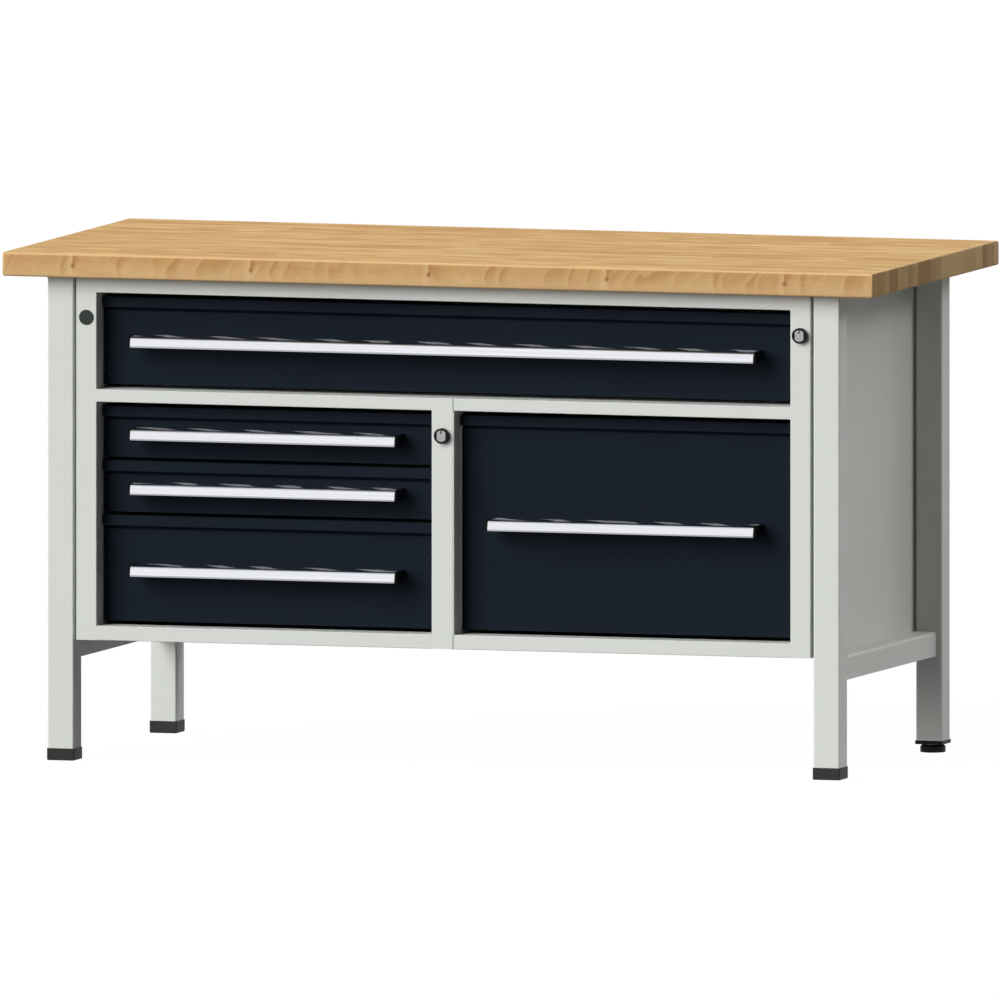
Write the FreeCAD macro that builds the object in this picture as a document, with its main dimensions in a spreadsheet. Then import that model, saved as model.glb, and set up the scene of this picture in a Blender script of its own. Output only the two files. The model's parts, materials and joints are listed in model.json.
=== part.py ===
import FreeCAD, Part
import math
import os
import Sketcher

# Workbench: a beech top on a square tube frame, with a sheet steel cabinet that holds five drawers.
# X runs to the right seen from the front, Y runs to the back and Z runs up, in millimetres.
# The origin is on the floor under the middle of the worktop.

doc = FreeCAD.newDocument("workbench")

# Driving dimensions

DRIVING_SIZES = [
    # worktop
    ("bench_height", 840),
    ("top_length", 1500),
    ("top_depth", 700),
    ("top_thickness", 40),
    ("top_edge_round", 2),
    # frame
    ("leg_width", 45),
    ("leg_wall", 2),
    ("leg_corner_round", 3),
    ("leg_setback_side", 68),
    ("leg_setback_front", 33.5),
    ("leg_setback_rear", 53.5),
    ("top_bar_thickness", 5),
    ("rail_height", 40),
    ("rail_thickness", 3),
    ("rail_bend_round", 5),
    ("rail_setback", 10),
    ("side_rail_flange", 72),
    ("rear_rail_flange", 30),
    # feet
    ("foot_height", 20),
    ("foot_overhang", 1),
    ("foot_edge_round", 2),
    ("foot_plug_depth", 18),
    ("foot_plug_play", 0.25),
    # levelling foot
    ("leveller_plate", 6),
    ("glide_radius", 21),
    ("glide_height", 12.5),
    ("glide_rim_chamfer", 1.5),
    ("glide_shoulder", 3),
    ("spindle_radius", 5),
    ("spindle_length", 60),
    ("spindle_socket_depth", 8),
    ("spindle_collar_width", 25),
    ("spindle_collar_height", 1),
    ("spindle_play", 0.1),
    ("glide_play", 0.25),
    # screws
    ("screw_radius", 3),
    ("screw_length", 30),
    ("screw_head_radius", 6),
    ("screw_head_height", 3.5),
    ("screw_head_chamfer", 1),
    ("screw_play", 0.2),
    ("top_screw_spacing", 190),
    ("rail_screw_spacing", 300),
    ("rail_screw_inset", 55),
    # cabinet
    ("cabinet_gap", 4.5),
    ("cabinet_setback_rear", 13),
    ("sheet", 1.5),
    ("frame_edge_round", 1.5),
    ("post_width", 35),
    ("post_return", 14),
    ("jamb_depth", 58),
    ("top_rail_height", 26.2),
    ("mid_rail_height", 21),
    ("bottom_rail_height", 24),
    ("rail_return", 40),
    ("joint_gap", 0.2),
    ("seam_place", 17),
    ("centre_post_width", 37.4),
    ("seam_wall", 1),
    ("seam_wall_step", 2.7),
    # runners
    ("runner_room", 14),
    ("runner_height", 46),
    ("runner_sheet", 1.5),
    ("runner_setback_rear", 61.8),
    ("runner_play", 0.5),
    ("runner_lift", 28),
    ("upright_width", 30),
    ("upright_setback_rear", 95),
    # drawers
    ("small_front_spacing", 90),
    ("tall_front_spacing", 180),
    ("wide_front_spacing", 150),
    ("front_gap", 5),
    ("front_gap_bottom", 6),
    ("front_gap_top", 8.4),
    ("front_gap_side", 3),
    ("front_recess", 35.5),
    ("front_thickness", 20),
    ("front_sheet", 1.5),
    ("front_flange", 16),
    ("front_edge_round", 1),
    ("band_height", 17.5),
    ("band_reach", 10),
    ("band_slope", 2.5),
    ("band_edge_round", 1.5),
    ("groove_height", 4.5),
    ("groove_depth", 6),
    ("tray_setback_rear", 44.5),
    ("tray_sheet", 1.2),
    ("tray_lift", 3),
    ("tray_drop", 25),
    # handles
    ("handle_inset", 57),
    ("handle_height", 18),
    ("handle_reach", 47),
    ("handle_wall", 2.5),
    ("handle_slope", 3),
    ("handle_crown_round", 11),
    ("handle_flange_drop", 2),
    ("handle_cap_thickness", 4),
    ("handle_cap_margin", 0.6),
    ("handle_cap_foot", 22),
    ("wide_handle_offset", 1.5),
    ("left_handle_offset", -1.1),
    ("deep_handle_offset", -0.6),
    # locks
    ("lock_drop", 41.3),
    ("collar_radius", 12.75),
    ("collar_height", 8.5),
    ("collar_chamfer", 1.2),
    ("barrel_radius", 9.4),
    ("barrel_flat_width", 15),
    ("barrel_sink", 0.8),
    ("barrel_head_depth", 6),
    ("barrel_play", 0.3),
    ("shank_radius", 7),
    ("shank_length", 15),
    ("key_slot_width", 2),
    ("key_slot_height", 6),
    ("key_slot_depth", 4),
    ("cam_width", 10),
    ("cam_thickness", 3),
    ("cam_reach", 12.5),
    ("lock_bar_length", 330),
    ("lock_bar_width", 16),
    ("lock_bar_thickness", 3),
    ("lock_bar_above_axis", 28),
    ("lock_bar_play", 0.4),
    ("plug_radius", 12.5),
    ("plug_height", 1.6),
    ("plug_stem_radius", 8.5),
    ("plug_stem_length", 10),
    ("plug_play", 0.3),
]

# Places that follow from the driving dimensions

DERIVED_PLACES = [
    ("top_underside", "sizes.bench_height - sizes.top_thickness"),
    ("leg_outer", "sizes.top_length / 2 - sizes.leg_setback_side"),
    ("leg_centre", "leg_outer - sizes.leg_width / 2"),
    ("frame_front", "sizes.leg_setback_front - sizes.top_depth / 2"),
    ("frame_rear", "sizes.top_depth / 2 - sizes.leg_setback_rear"),
    ("front_leg_centre", "frame_front + sizes.leg_width / 2"),
    ("rear_leg_centre", "frame_rear - sizes.leg_width / 2"),
    ("leg_height", "top_underside - sizes.top_bar_thickness - sizes.foot_height"),
    ("leg_bore", "sizes.leg_width - 2 * sizes.leg_wall"),
    ("foot_width", "sizes.leg_width + 2 * sizes.foot_overhang"),
    ("foot_plug_width", "leg_bore - 2 * sizes.foot_plug_play"),
    ("rail_outer", "leg_outer - sizes.rail_setback"),
    ("rail_span", "frame_rear - frame_front - 2 * sizes.leg_width"),
    ("rear_rail_face", "frame_rear - sizes.rail_setback"),
    ("cabinet_rear", "frame_rear - sizes.cabinet_setback_rear"),
    ("cabinet_depth", "cabinet_rear - frame_front"),
    ("inner_depth", "cabinet_depth - sizes.sheet"),
    ("cabinet_half", "leg_outer - sizes.leg_width - sizes.cabinet_gap"),
    ("opening_half", "cabinet_half - sizes.post_width"),
    ("seam_post_edge", "sizes.seam_place - sizes.centre_post_width"),
    ("deep_bay_left", "sizes.seam_place + sizes.joint_gap + sizes.seam_wall"),
    ("deep_runner_left", "deep_bay_left + sizes.seam_wall_step"),
    ("left_stack_height", "2 * sizes.small_front_spacing + sizes.tall_front_spacing - sizes.front_gap"),
    ("wide_front_height", "sizes.wide_front_spacing - sizes.front_gap"),
    ("opening_room", "sizes.front_gap_bottom + sizes.front_gap_top"),
    ("lower_opening", "left_stack_height + opening_room"),
    ("upper_opening", "wide_front_height + opening_room"),
    ("lower_height", "sizes.bottom_rail_height + lower_opening"),
    ("shelf_height", "lower_height + sizes.mid_rail_height"),
    ("cabinet_height", "shelf_height + upper_opening + sizes.top_rail_height"),
    ("cabinet_base", "top_underside - cabinet_height"),
    ("shelf_base", "cabinet_base + lower_height"),
    ("lower_fronts", "cabinet_base + sizes.bottom_rail_height + sizes.front_gap_bottom"),
    ("wide_fronts", "cabinet_base + shelf_height + sizes.front_gap_bottom"),
    ("panel_face", "frame_front + sizes.front_recess"),
    ("panel_rear", "panel_face + sizes.front_thickness"),
    ("tray_depth", "cabinet_rear - sizes.tray_setback_rear - panel_rear"),
    ("runner_front", "frame_front + sizes.jamb_depth + sizes.joint_gap"),
    ("runner_length", "cabinet_rear - sizes.runner_setback_rear - runner_front"),
    ("lower_lock_height", "shelf_base - sizes.lock_drop"),
    ("upper_lock_height", "cabinet_base + shelf_height + upper_opening - sizes.lock_drop"),
    ("centre_lock_place", "sizes.seam_place - sizes.centre_post_width / 2"),
    ("side_lock_place", "cabinet_half - sizes.post_width / 2"),
    ("rail_screw_place", "cabinet_half - sizes.post_width / 2"),
    ("rail_screw_middle", "(frame_front + frame_rear) / 2 - sizes.rail_screw_inset"),
    ("collar_bore", "sizes.barrel_radius + sizes.barrel_play"),
    ("shank_hole", "sizes.shank_radius + sizes.barrel_play"),
    ("plug_hole", "sizes.plug_stem_radius + sizes.plug_play"),
    ("screw_hole", "sizes.screw_radius + sizes.screw_play"),
]

sheet = doc.addObject("Spreadsheet::Sheet", "sizes")
for row, (alias, value) in enumerate(DRIVING_SIZES, start=1):
    sheet.set(f"A{row}", alias.replace("_", " "))
    sheet.set(f"B{row}", str(value))
    sheet.setAlias(f"B{row}", alias)

places = doc.addObject("Spreadsheet::Sheet", "places")
for row, (alias, formula) in enumerate(DERIVED_PLACES, start=1):
    places.set(f"A{row}", alias.replace("_", " "))
    places.set(f"B{row}", "=" + formula)
    places.setAlias(f"B{row}", alias)
doc.recompute()

parts = []


# Small helpers: every length that they take is an expression over the two sheets

def keep(item, name):
    """Mark a finished sub-part and give it the name of its file."""
    item.Label = name
    parts.append(item)
    return item


def place(item, x="0", y="0", z="0"):
    """Bind the position of a sub-part."""
    for axis, expression in (("x", x), ("y", y), ("z", z)):
        item.setExpression("Placement.Base." + axis, expression)


def face_front(item):
    """Turn a piece drawn along +Z so that it points at the viewer, along -Y."""
    item.Placement.Rotation = FreeCAD.Rotation(FreeCAD.Vector(1, 0, 0), 90)


def block(name, x, y, z, length, width, height):
    """Rectangular block with its low corner at x, y, z."""
    item = doc.addObject("Part::Box", name)
    item.setExpression("Length", length)
    item.setExpression("Width", width)
    item.setExpression("Height", height)
    place(item, x, y, z)
    return item


def cylinder(name, x, y, z, radius, height):
    """Upright cylinder that stands on x, y, z."""
    item = doc.addObject("Part::Cylinder", name)
    item.setExpression("Radius", radius)
    item.setExpression("Height", height)
    place(item, x, y, z)
    return item


def cut(name, base, tool):
    """Base without tool."""
    item = doc.addObject("Part::Cut", name)
    item.Base = base
    item.Tool = tool
    return item


def fuse(name, items):
    """Several shapes grown into one solid."""
    item = doc.addObject("Part::MultiFuse", name)
    item.Shapes = items
    return item


def group(name, items):
    """Several separate solids kept together as one sub-part."""
    item = doc.addObject("Part::Compound", name)
    item.Links = items
    return item


def new_body(name):
    """Empty feature body."""
    return doc.addObject("PartDesign::Body", name)


def sketch_on(body, plane, offset="0"):
    """Sketch on one of the body's own origin planes, moved along the plane's normal by offset."""
    sketch = body.newObject("Sketcher::SketchObject", body.Name + "_sketch")
    support = next(item for item in body.Origin.OriginFeatures if item.Role == plane)
    sketch.AttachmentSupport = [(support, "")]
    sketch.MapMode = "FlatFace"
    if offset != "0":
        sketch.setExpression("AttachmentOffset.Base.z", offset)
    return sketch


def pin_point(sketch, curve, point, across, up):
    """Bind one sketch point to its two coordinates."""
    for kind, expression in (("DistanceX", across), ("DistanceY", up)):
        index = sketch.addConstraint(Sketcher.Constraint(kind, -1, 1, curve, point, 1.0))
        sketch.setExpression(f"Constraints[{index}]", expression)


def outline(sketch, corners):
    """Closed run of straight lines through the corners, given as pairs of expressions."""
    first = sketch.GeometryCount
    count = len(corners)
    turn = 2 * math.pi / count
    ring = [FreeCAD.Vector(math.cos(turn * step), math.sin(turn * step), 0) for step in range(count)]
    for step in range(count):
        sketch.addGeometry(Part.LineSegment(ring[step], ring[(step + 1) % count]), False)
    for step in range(count):
        following = first + (step + 1) % count
        sketch.addConstraint(Sketcher.Constraint("Coincident", first + step, 2, following, 1))
    for step, (across, up) in enumerate(corners):
        pin_point(sketch, first + step, 1, across, up)


def rectangle(sketch, low_x, low_y, high_x, high_y):
    """Closed rectangle between two opposite corners."""
    outline(sketch, [(low_x, low_y), (high_x, low_y), (high_x, high_y), (low_x, high_y)])


def circles(sketch, radius, centres):
    """Circles of one radius round the centres."""
    for across, up in centres:
        curve = sketch.addGeometry(Part.Circle(FreeCAD.Vector(), FreeCAD.Vector(0, 0, 1), 1), False)
        pin_point(sketch, curve, 3, across, up)
        index = sketch.addConstraint(Sketcher.Constraint("Radius", curve, 1.0))
        sketch.setExpression(f"Constraints[{index}]", radius)


def pad(body, sketch, length, reverse=False):
    """Solid along the sketch's normal, or against it when reversed."""
    item = body.newObject("PartDesign::Pad", body.Name + "_pad")
    item.Profile = sketch
    item.Reversed = reverse
    item.setExpression("Length", length)
    sketch.Visibility = False
    return item


def pocket(body, sketch, length, reverse=False):
    """Cut against the sketch's normal, or along it when reversed."""
    item = body.newObject("PartDesign::Pocket", body.Name + "_pocket")
    item.Profile = sketch
    item.Reversed = reverse
    item.setExpression("Length", length)
    sketch.Visibility = False
    return item


def inner_block(body, kind, x, y, z, length, width, height):
    """Additive or subtractive block inside a body."""
    item = body.newObject("PartDesign::" + kind, body.Name + "_" + kind)
    item.setExpression("Length", length)
    item.setExpression("Width", width)
    item.setExpression("Height", height)
    place(item, x, y, z)
    return item


def round_edges(body, radius, wanted):
    """Fillet the edges of the body's tip whose two ends both pass the test."""
    doc.recompute()
    base = body.Tip
    names = []
    for index, edge in enumerate(base.Shape.Edges, start=1):
        ends = [vertex.Point for vertex in edge.Vertexes]
        if len(ends) == 2 and wanted(*ends):
            names.append(f"Edge{index}")
    item = body.newObject("PartDesign::Fillet", body.Name + "_round")
    item.Base = (base, names)
    item.setExpression("Radius", radius)
    base.Visibility = False
    return item


def turned(name, half_section):
    """Solid of revolution about Z from the corners of its half section, given as radius and height."""
    body = new_body(name)
    sketch = sketch_on(body, "XZ_Plane")
    outline(sketch, half_section)
    item = body.newObject("PartDesign::Revolution", name + "_turn")
    item.Profile = sketch
    item.ReferenceAxis = (sketch, ["V_Axis"])
    item.Angle = 360
    sketch.Visibility = False
    return body


def close_to(value, target):
    """True when two lengths are the same but for rounding."""
    return math.isclose(value, target, rel_tol=1e-6, abs_tol=1e-6)


def amount(alias):
    """Number behind an alias of either sheet."""
    owner = sheet if alias in dict(DRIVING_SIZES) else places
    return float(owner.get(alias))


# Worktop

def make_worktop():
    """Slab with eased edges and blind pilot holes for the screws in the top bars."""
    body = new_body("worktop")
    base = sketch_on(body, "XY_Plane")
    outline(
        base,
        [
            ("-sizes.top_length / 2", "-sizes.top_depth / 2"),
            ("sizes.top_length / 2", "-sizes.top_depth / 2"),
            ("sizes.top_length / 2", "sizes.top_depth / 2"),
            ("-sizes.top_length / 2", "sizes.top_depth / 2"),
        ],
    )
    pad(body, base, "sizes.top_thickness")
    round_edges(body, "sizes.top_edge_round", lambda start, end: True)
    holes = sketch_on(body, "XY_Plane")
    circles(holes, "places.screw_hole", top_screw_centres())
    pocket(body, holes, "sizes.screw_length - sizes.top_bar_thickness + sizes.screw_play", reverse=True)
    place(body, z="places.top_underside")
    keep(body, "worktop")


def top_screw_centres():
    """Three screws in each top bar, spaced about the middle of the frame."""
    middle = "(places.frame_front + places.frame_rear) / 2"
    return [
        (f"{side} * places.leg_centre", f"{middle} + {step} * sizes.top_screw_spacing")
        for side in (-1, 1)
        for step in (-1, 0, 1)
    ]


def rail_screw_centres():
    """Two screws in each side rail, into the cabinet floor."""
    middle = "places.rail_screw_middle"
    return [
        (f"{side} * places.rail_screw_place", f"{middle} + {step} * sizes.rail_screw_spacing / 2")
        for side in (-1, 1)
        for step in (-1, 1)
    ]


# Frame

LEG_CORNERS = [
    ("front_left", "-places.leg_centre", "places.front_leg_centre"),
    ("front_right", "places.leg_centre", "places.front_leg_centre"),
    ("rear_left", "-places.leg_centre", "places.rear_leg_centre"),
    ("rear_right", "places.leg_centre", "places.rear_leg_centre"),
]


def centred_square(sketch, width):
    """Square of the given width about the sketch's origin."""
    rectangle(sketch, f"-{width} / 2", f"-{width} / 2", f"{width} / 2", f"{width} / 2")


def make_legs():
    """Four square tubes with rounded outer corners."""
    for corner, x, y in LEG_CORNERS:
        name = "leg_" + corner
        body = new_body(name)
        outer = sketch_on(body, "XY_Plane")
        centred_square(outer, "sizes.leg_width")
        pad(body, outer, "places.leg_height")
        round_edges(body, "sizes.leg_corner_round", lambda start, end: not close_to(start.z, end.z))
        bore = sketch_on(body, "XY_Plane")
        centred_square(bore, "places.leg_bore")
        pocket(body, bore, "places.leg_height", reverse=True)
        place(body, x, y, "sizes.foot_height")
        keep(body, name)


def make_top_bars():
    """Flat bars across the leg tops, drilled for the worktop screws."""
    bars = []
    for side, word in ((-1, "left"), (1, "right")):
        body = new_body("top_bar_" + word)
        plan = sketch_on(body, "XY_Plane")
        centre = f"{side} * places.leg_centre"
        rectangle(
            plan,
            f"{centre} - sizes.leg_width / 2",
            "places.frame_front",
            f"{centre} + sizes.leg_width / 2",
            "places.frame_rear",
        )
        own = [pair for pair in top_screw_centres() if pair[0] == centre]
        circles(plan, "places.screw_hole", own)
        pad(body, plan, "sizes.top_bar_thickness")
        place(body, z="places.top_underside - sizes.top_bar_thickness")
        bars.append(body)
    keep(group("top_bar_pair", bars), "top_bars")


def angle_corners(face, inward, flange):
    """Corners of an L section: an upright web at face and a flange along its top, turned inward."""
    return [
        (face, "-sizes.rail_height"),
        (face, "0"),
        (f"{face} + {inward} * {flange}", "0"),
        (f"{face} + {inward} * {flange}", "-sizes.rail_thickness"),
        (f"{face} + {inward} * sizes.rail_thickness", "-sizes.rail_thickness"),
        (f"{face} + {inward} * sizes.rail_thickness", "-sizes.rail_height"),
    ]


def make_side_rails():
    """Bent rails between the front and rear legs, whose flanges carry the cabinet."""
    rails = []
    for side, word in ((-1, "left"), (1, "right")):
        body = new_body("side_rail_" + word)
        section = sketch_on(body, "XZ_Plane")
        face = f"{side} * places.rail_outer"
        outline(section, angle_corners(face, -side, "sizes.side_rail_flange"))
        pad(body, section, "places.rail_span")
        bend = side * amount("rail_outer")
        round_edges(
            body,
            "sizes.rail_bend_round",
            lambda start, end: all(close_to(p.x, bend) and close_to(p.z, 0) for p in (start, end)),
        )
        holes = sketch_on(body, "XY_Plane")
        own = [
            (x, f"{y} - places.frame_rear + sizes.leg_width")
            for x, y in rail_screw_centres()
            if x.startswith(f"{side} ")
        ]
        circles(holes, "places.screw_hole", own)
        pocket(body, holes, "sizes.rail_thickness")
        place(body, y="places.frame_rear - sizes.leg_width", z="places.cabinet_base")
        rails.append(body)
    keep(group("side_rail_pair", rails), "side_rails")


def make_rear_rail():
    """Bent rail between the rear legs."""
    body = new_body("rear_rail")
    section = sketch_on(body, "YZ_Plane")
    outline(section, angle_corners("places.rear_rail_face", -1, "sizes.rear_rail_flange"))
    pad(body, section, "2 * (places.leg_outer - sizes.leg_width)")
    bend = amount("rear_rail_face")
    round_edges(
        body,
        "sizes.rail_bend_round",
        lambda start, end: all(close_to(p.y, bend) and close_to(p.z, 0) for p in (start, end)),
    )
    place(body, x="sizes.leg_width - places.leg_outer", z="places.cabinet_base")
    keep(body, "rear_rail")


def make_frame_screws():
    """Identical pan head screws, six into the worktop and four into the cabinet."""
    levels = [(x, y, "places.top_underside - sizes.top_bar_thickness") for x, y in top_screw_centres()]
    levels += [(x, y, "places.cabinet_base - sizes.rail_thickness") for x, y in rail_screw_centres()]
    screws = []
    for number, (x, y, z) in enumerate(levels, start=1):
        head_top = "sizes.screw_head_radius - sizes.screw_head_chamfer"
        screw = turned(
            f"screw_{number}",
            [
                ("0", "-sizes.screw_head_height"),
                (head_top, "-sizes.screw_head_height"),
                ("sizes.screw_head_radius", "sizes.screw_head_chamfer - sizes.screw_head_height"),
                ("sizes.screw_head_radius", "0"),
                ("sizes.screw_radius", "0"),
                ("sizes.screw_radius", "sizes.screw_length - sizes.screw_radius"),
                ("0", "sizes.screw_length"),
            ],
        )
        place(screw, x, y, z)
        screws.append(screw)
    keep(group("screw_set", screws), "frame_screws")


# Feet

def make_foot_caps():
    """Square plastic feet with a plug that stands up inside the tube."""
    caps = []
    for corner, x, y in LEG_CORNERS[:3]:
        body = new_body("foot_" + corner)
        base = sketch_on(body, "XY_Plane")
        centred_square(base, "places.foot_width")
        pad(body, base, "sizes.foot_height")
        tall = amount("foot_height")
        round_edges(
            body,
            "sizes.foot_edge_round",
            lambda start, end: not (close_to(start.z, tall) and close_to(end.z, tall)),
        )
        inner_block(
            body,
            "AdditiveBox",
            "-places.foot_plug_width / 2",
            "-places.foot_plug_width / 2",
            "sizes.foot_height / 2",
            "places.foot_plug_width",
            "places.foot_plug_width",
            "sizes.foot_height / 2 + sizes.foot_plug_depth",
        )
        place(body, x, y)
        caps.append(body)
    keep(group("foot_set", caps), "foot_caps")


def make_leveller():
    """Levelling foot of the rear right leg: threaded insert, spindle and round glide."""
    corner, x, y = LEG_CORNERS[3]
    plate_base = "sizes.foot_height - sizes.leveller_plate"
    plate = block(
        "leveller_plate_block",
        f"{x} - places.foot_width / 2",
        f"{y} - places.foot_width / 2",
        plate_base,
        "places.foot_width",
        "places.foot_width",
        "sizes.leveller_plate",
    )
    plug = block(
        "leveller_plug_block",
        f"{x} - places.foot_plug_width / 2",
        f"{y} - places.foot_plug_width / 2",
        plate_base,
        "places.foot_plug_width",
        "places.foot_plug_width",
        "sizes.leveller_plate + sizes.foot_plug_depth",
    )
    bore = cylinder(
        "leveller_bore",
        x,
        y,
        plate_base,
        "sizes.spindle_radius + sizes.spindle_play",
        "sizes.leveller_plate + sizes.foot_plug_depth",
    )
    keep(cut("leveller_insert_cut", fuse("leveller_insert_body", [plate, plug]), bore), "leveller_insert")

    glide = turned(
        "glide",
        [
            ("0", "0"),
            ("sizes.glide_radius - sizes.glide_rim_chamfer", "0"),
            ("sizes.glide_radius", "sizes.glide_rim_chamfer"),
            ("sizes.glide_radius", "sizes.glide_height - sizes.glide_shoulder"),
            ("sizes.glide_radius - sizes.glide_shoulder", "sizes.glide_height"),
            ("sizes.spindle_radius + sizes.glide_play", "sizes.glide_height"),
            ("sizes.spindle_radius + sizes.glide_play", "sizes.glide_height - sizes.spindle_socket_depth"),
            ("0", "sizes.glide_height - sizes.spindle_socket_depth"),
        ],
    )
    place(glide, x, y)
    keep(glide, "leveller_glide")

    rod = cylinder(
        "spindle_rod",
        x,
        y,
        "sizes.glide_height - sizes.spindle_socket_depth + sizes.glide_play",
        "sizes.spindle_radius",
        "sizes.spindle_length",
    )
    collar = doc.addObject("Part::Prism", "spindle_collar")
    collar.Polygon = 6
    collar.setExpression("Circumradius", "sizes.spindle_collar_width / sqrt(3)")
    collar.setExpression("Height", "sizes.spindle_collar_height")
    place(collar, x, y, "sizes.glide_height + sizes.glide_play")
    keep(fuse("spindle_fuse", [rod, collar]), "leveller_spindle")


# Cabinet

def make_post_wall(name, side, edge, post, depth, height, base):
    """Sheet wall whose front edge is folded into a post: a face, a jamb and a short return.

    edge is the wall's outer face, side is +1 where the post lies to the left of it.
    """
    body = new_body(name)
    plan = sketch_on(body, "XY_Plane")

    def off_edge(distance):
        return f"{edge} - {side} * ({distance})"

    outline(
        plan,
        [
            (edge, depth),
            (edge, "0"),
            (off_edge(post), "0"),
            (off_edge(post), "sizes.jamb_depth"),
            (off_edge(f"{post} - sizes.post_return"), "sizes.jamb_depth"),
            (off_edge(f"{post} - sizes.post_return"), "sizes.jamb_depth - sizes.sheet"),
            (off_edge(f"{post} - sizes.sheet"), "sizes.jamb_depth - sizes.sheet"),
            (off_edge(f"{post} - sizes.sheet"), "sizes.sheet"),
            (off_edge("sizes.sheet"), "sizes.sheet"),
            (off_edge("sizes.sheet"), depth),
        ],
    )
    pad(body, plan, height)
    round_edges(
        body,
        "sizes.frame_edge_round",
        lambda start, end: close_to(start.y, 0) and close_to(end.y, 0) and not close_to(start.z, end.z),
    )
    place(body, y="places.frame_front", z=base)
    return body


def bore_post(body, radius, x, z):
    """Round hole through the face of a post."""
    hole = sketch_on(body, "XZ_Plane")
    circles(hole, radius, [(x, z)])
    pocket(body, hole, "sizes.sheet + sizes.joint_gap")


def make_walls():
    """Outer walls with their posts, and the two walls that meet at the seam."""
    base = "places.cabinet_base"
    post = "sizes.post_width"
    full = "places.cabinet_depth"
    tall = "places.cabinet_height"
    left = make_post_wall("side_left", -1, "-places.cabinet_half", post, full, tall, base)
    bore_post(left, "places.plug_hole", "-places.side_lock_place", f"places.upper_lock_height - {base}")
    keep(left, "side_panel_left")

    right = make_post_wall("side_right", 1, "places.cabinet_half", post, full, tall, base)
    bore_post(right, "places.shank_hole", "places.side_lock_place", f"places.upper_lock_height - {base}")
    keep(right, "side_panel_right")

    lower = "places.lower_height - sizes.joint_gap"
    inner = "places.inner_depth - sizes.joint_gap"
    centre_post = "sizes.centre_post_width"
    centre = make_post_wall("centre_left", 1, "sizes.seam_place", centre_post, inner, lower, base)
    bore_post(centre, "places.shank_hole", "places.centre_lock_place", f"places.lower_lock_height - {base}")
    keep(centre, "centre_wall_left")

    wall = new_body("centre_right")
    plan = sketch_on(wall, "XY_Plane")
    step = "sizes.front_recess + sizes.joint_gap"
    outline(
        plan,
        [
            ("0", "0"),
            ("sizes.seam_wall", "0"),
            ("sizes.seam_wall", step),
            ("sizes.seam_wall + sizes.seam_wall_step", step),
            ("sizes.seam_wall + sizes.seam_wall_step", inner),
            ("sizes.seam_wall_step", inner),
            ("sizes.seam_wall_step", f"{step} + sizes.seam_wall"),
            ("0", f"{step} + sizes.seam_wall"),
        ],
    )
    pad(wall, plan, "places.lower_opening - 2 * sizes.joint_gap")
    place(
        wall,
        "sizes.seam_place + sizes.joint_gap",
        "places.frame_front",
        f"{base} + sizes.bottom_rail_height + sizes.joint_gap",
    )
    keep(wall, "centre_wall_right")

    back = block(
        "back_sheet",
        "sizes.sheet + sizes.joint_gap - places.cabinet_half",
        "places.cabinet_rear - sizes.sheet",
        base,
        "2 * (places.cabinet_half - sizes.sheet - sizes.joint_gap)",
        "sizes.sheet",
        "places.cabinet_height",
    )
    keep(back, "back_panel")


def make_front_rail(name, left, right, height, base, top_run, bottom_run):
    """Folded rail: a face and two returns, either of which can run on to the back as a sheet."""
    body = new_body(name)
    section = sketch_on(body, "YZ_Plane")
    outline(
        section,
        [
            ("0", "0"),
            ("0", height),
            (top_run, height),
            (top_run, f"{height} - sizes.sheet"),
            ("sizes.sheet", f"{height} - sizes.sheet"),
            ("sizes.sheet", "sizes.sheet"),
            (bottom_run, "sizes.sheet"),
            (bottom_run, "0"),
        ],
    )
    pad(body, section, f"{right} - ({left})")
    round_edges(
        body,
        "sizes.frame_edge_round",
        lambda start, end: close_to(start.y, 0) and close_to(end.y, 0) and not close_to(start.x, end.x),
    )
    place(body, left, "places.frame_front", base)
    return body


def make_rails_and_floors():
    """Top rail, the shelf under the wide drawer in two halves, and the floor of each unit."""
    gap = "sizes.joint_gap"
    far_left = f"{gap} - places.opening_half"
    far_right = f"places.opening_half - {gap}"
    depth = f"places.inner_depth - {gap}"
    short = "sizes.rail_return"
    top = make_front_rail(
        "rail_top",
        far_left,
        far_right,
        "sizes.top_rail_height",
        "places.top_underside - sizes.top_rail_height",
        short,
        short,
    )
    keep(top, "top_rail")

    halves = [
        ("left", far_left, f"sizes.seam_place - {gap}"),
        ("right", f"sizes.seam_place + {gap}", far_right),
    ]
    for word, left, right in halves:
        shelf = make_front_rail(
            "shelf_body_" + word,
            left,
            right,
            "sizes.mid_rail_height",
            "places.shelf_base",
            depth,
            short,
        )
        keep(shelf, "shelf_" + word)

    wall_face = f"(places.cabinet_half - sizes.sheet - {gap})"
    overlap = "sizes.post_return"
    left_end = f"(places.seam_post_edge - {gap})"
    left_wings = [
        (f"-{wall_face}", f"{overlap} - places.opening_half"),
        (f"{left_end} - {overlap}", f"sizes.seam_place - sizes.sheet - {gap}"),
    ]
    right_wings = [(f"places.opening_half - {overlap}", wall_face)]
    bays = [
        ("left", far_left, left_end, left_wings),
        ("right", f"sizes.seam_place + {gap}", far_right, right_wings),
    ]
    for word, left, right, wings in bays:
        floor = make_front_rail(
            "floor_body_" + word,
            left,
            right,
            "sizes.bottom_rail_height",
            "places.cabinet_base",
            short,
            depth,
        )
        for wing_left, wing_right in wings:
            inner_block(
                floor,
                "AdditiveBox",
                f"{wing_left} - ({left})",
                f"sizes.jamb_depth + {gap}",
                "0",
                f"{wing_right} - ({wing_left})",
                f"{depth} - sizes.jamb_depth - {gap}",
                "sizes.sheet",
            )
        holes = sketch_on(floor, "XY_Plane")
        own = [
            (f"{x} - ({left})", f"{y} - places.frame_front")
            for x, y in rail_screw_centres()
            if x.startswith("-") == (word == "left")
        ]
        circles(holes, "places.screw_hole", own)
        pocket(floor, holes, f"sizes.sheet + {gap}", reverse=True)
        keep(floor, "floor_" + word)


# Runners

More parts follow.
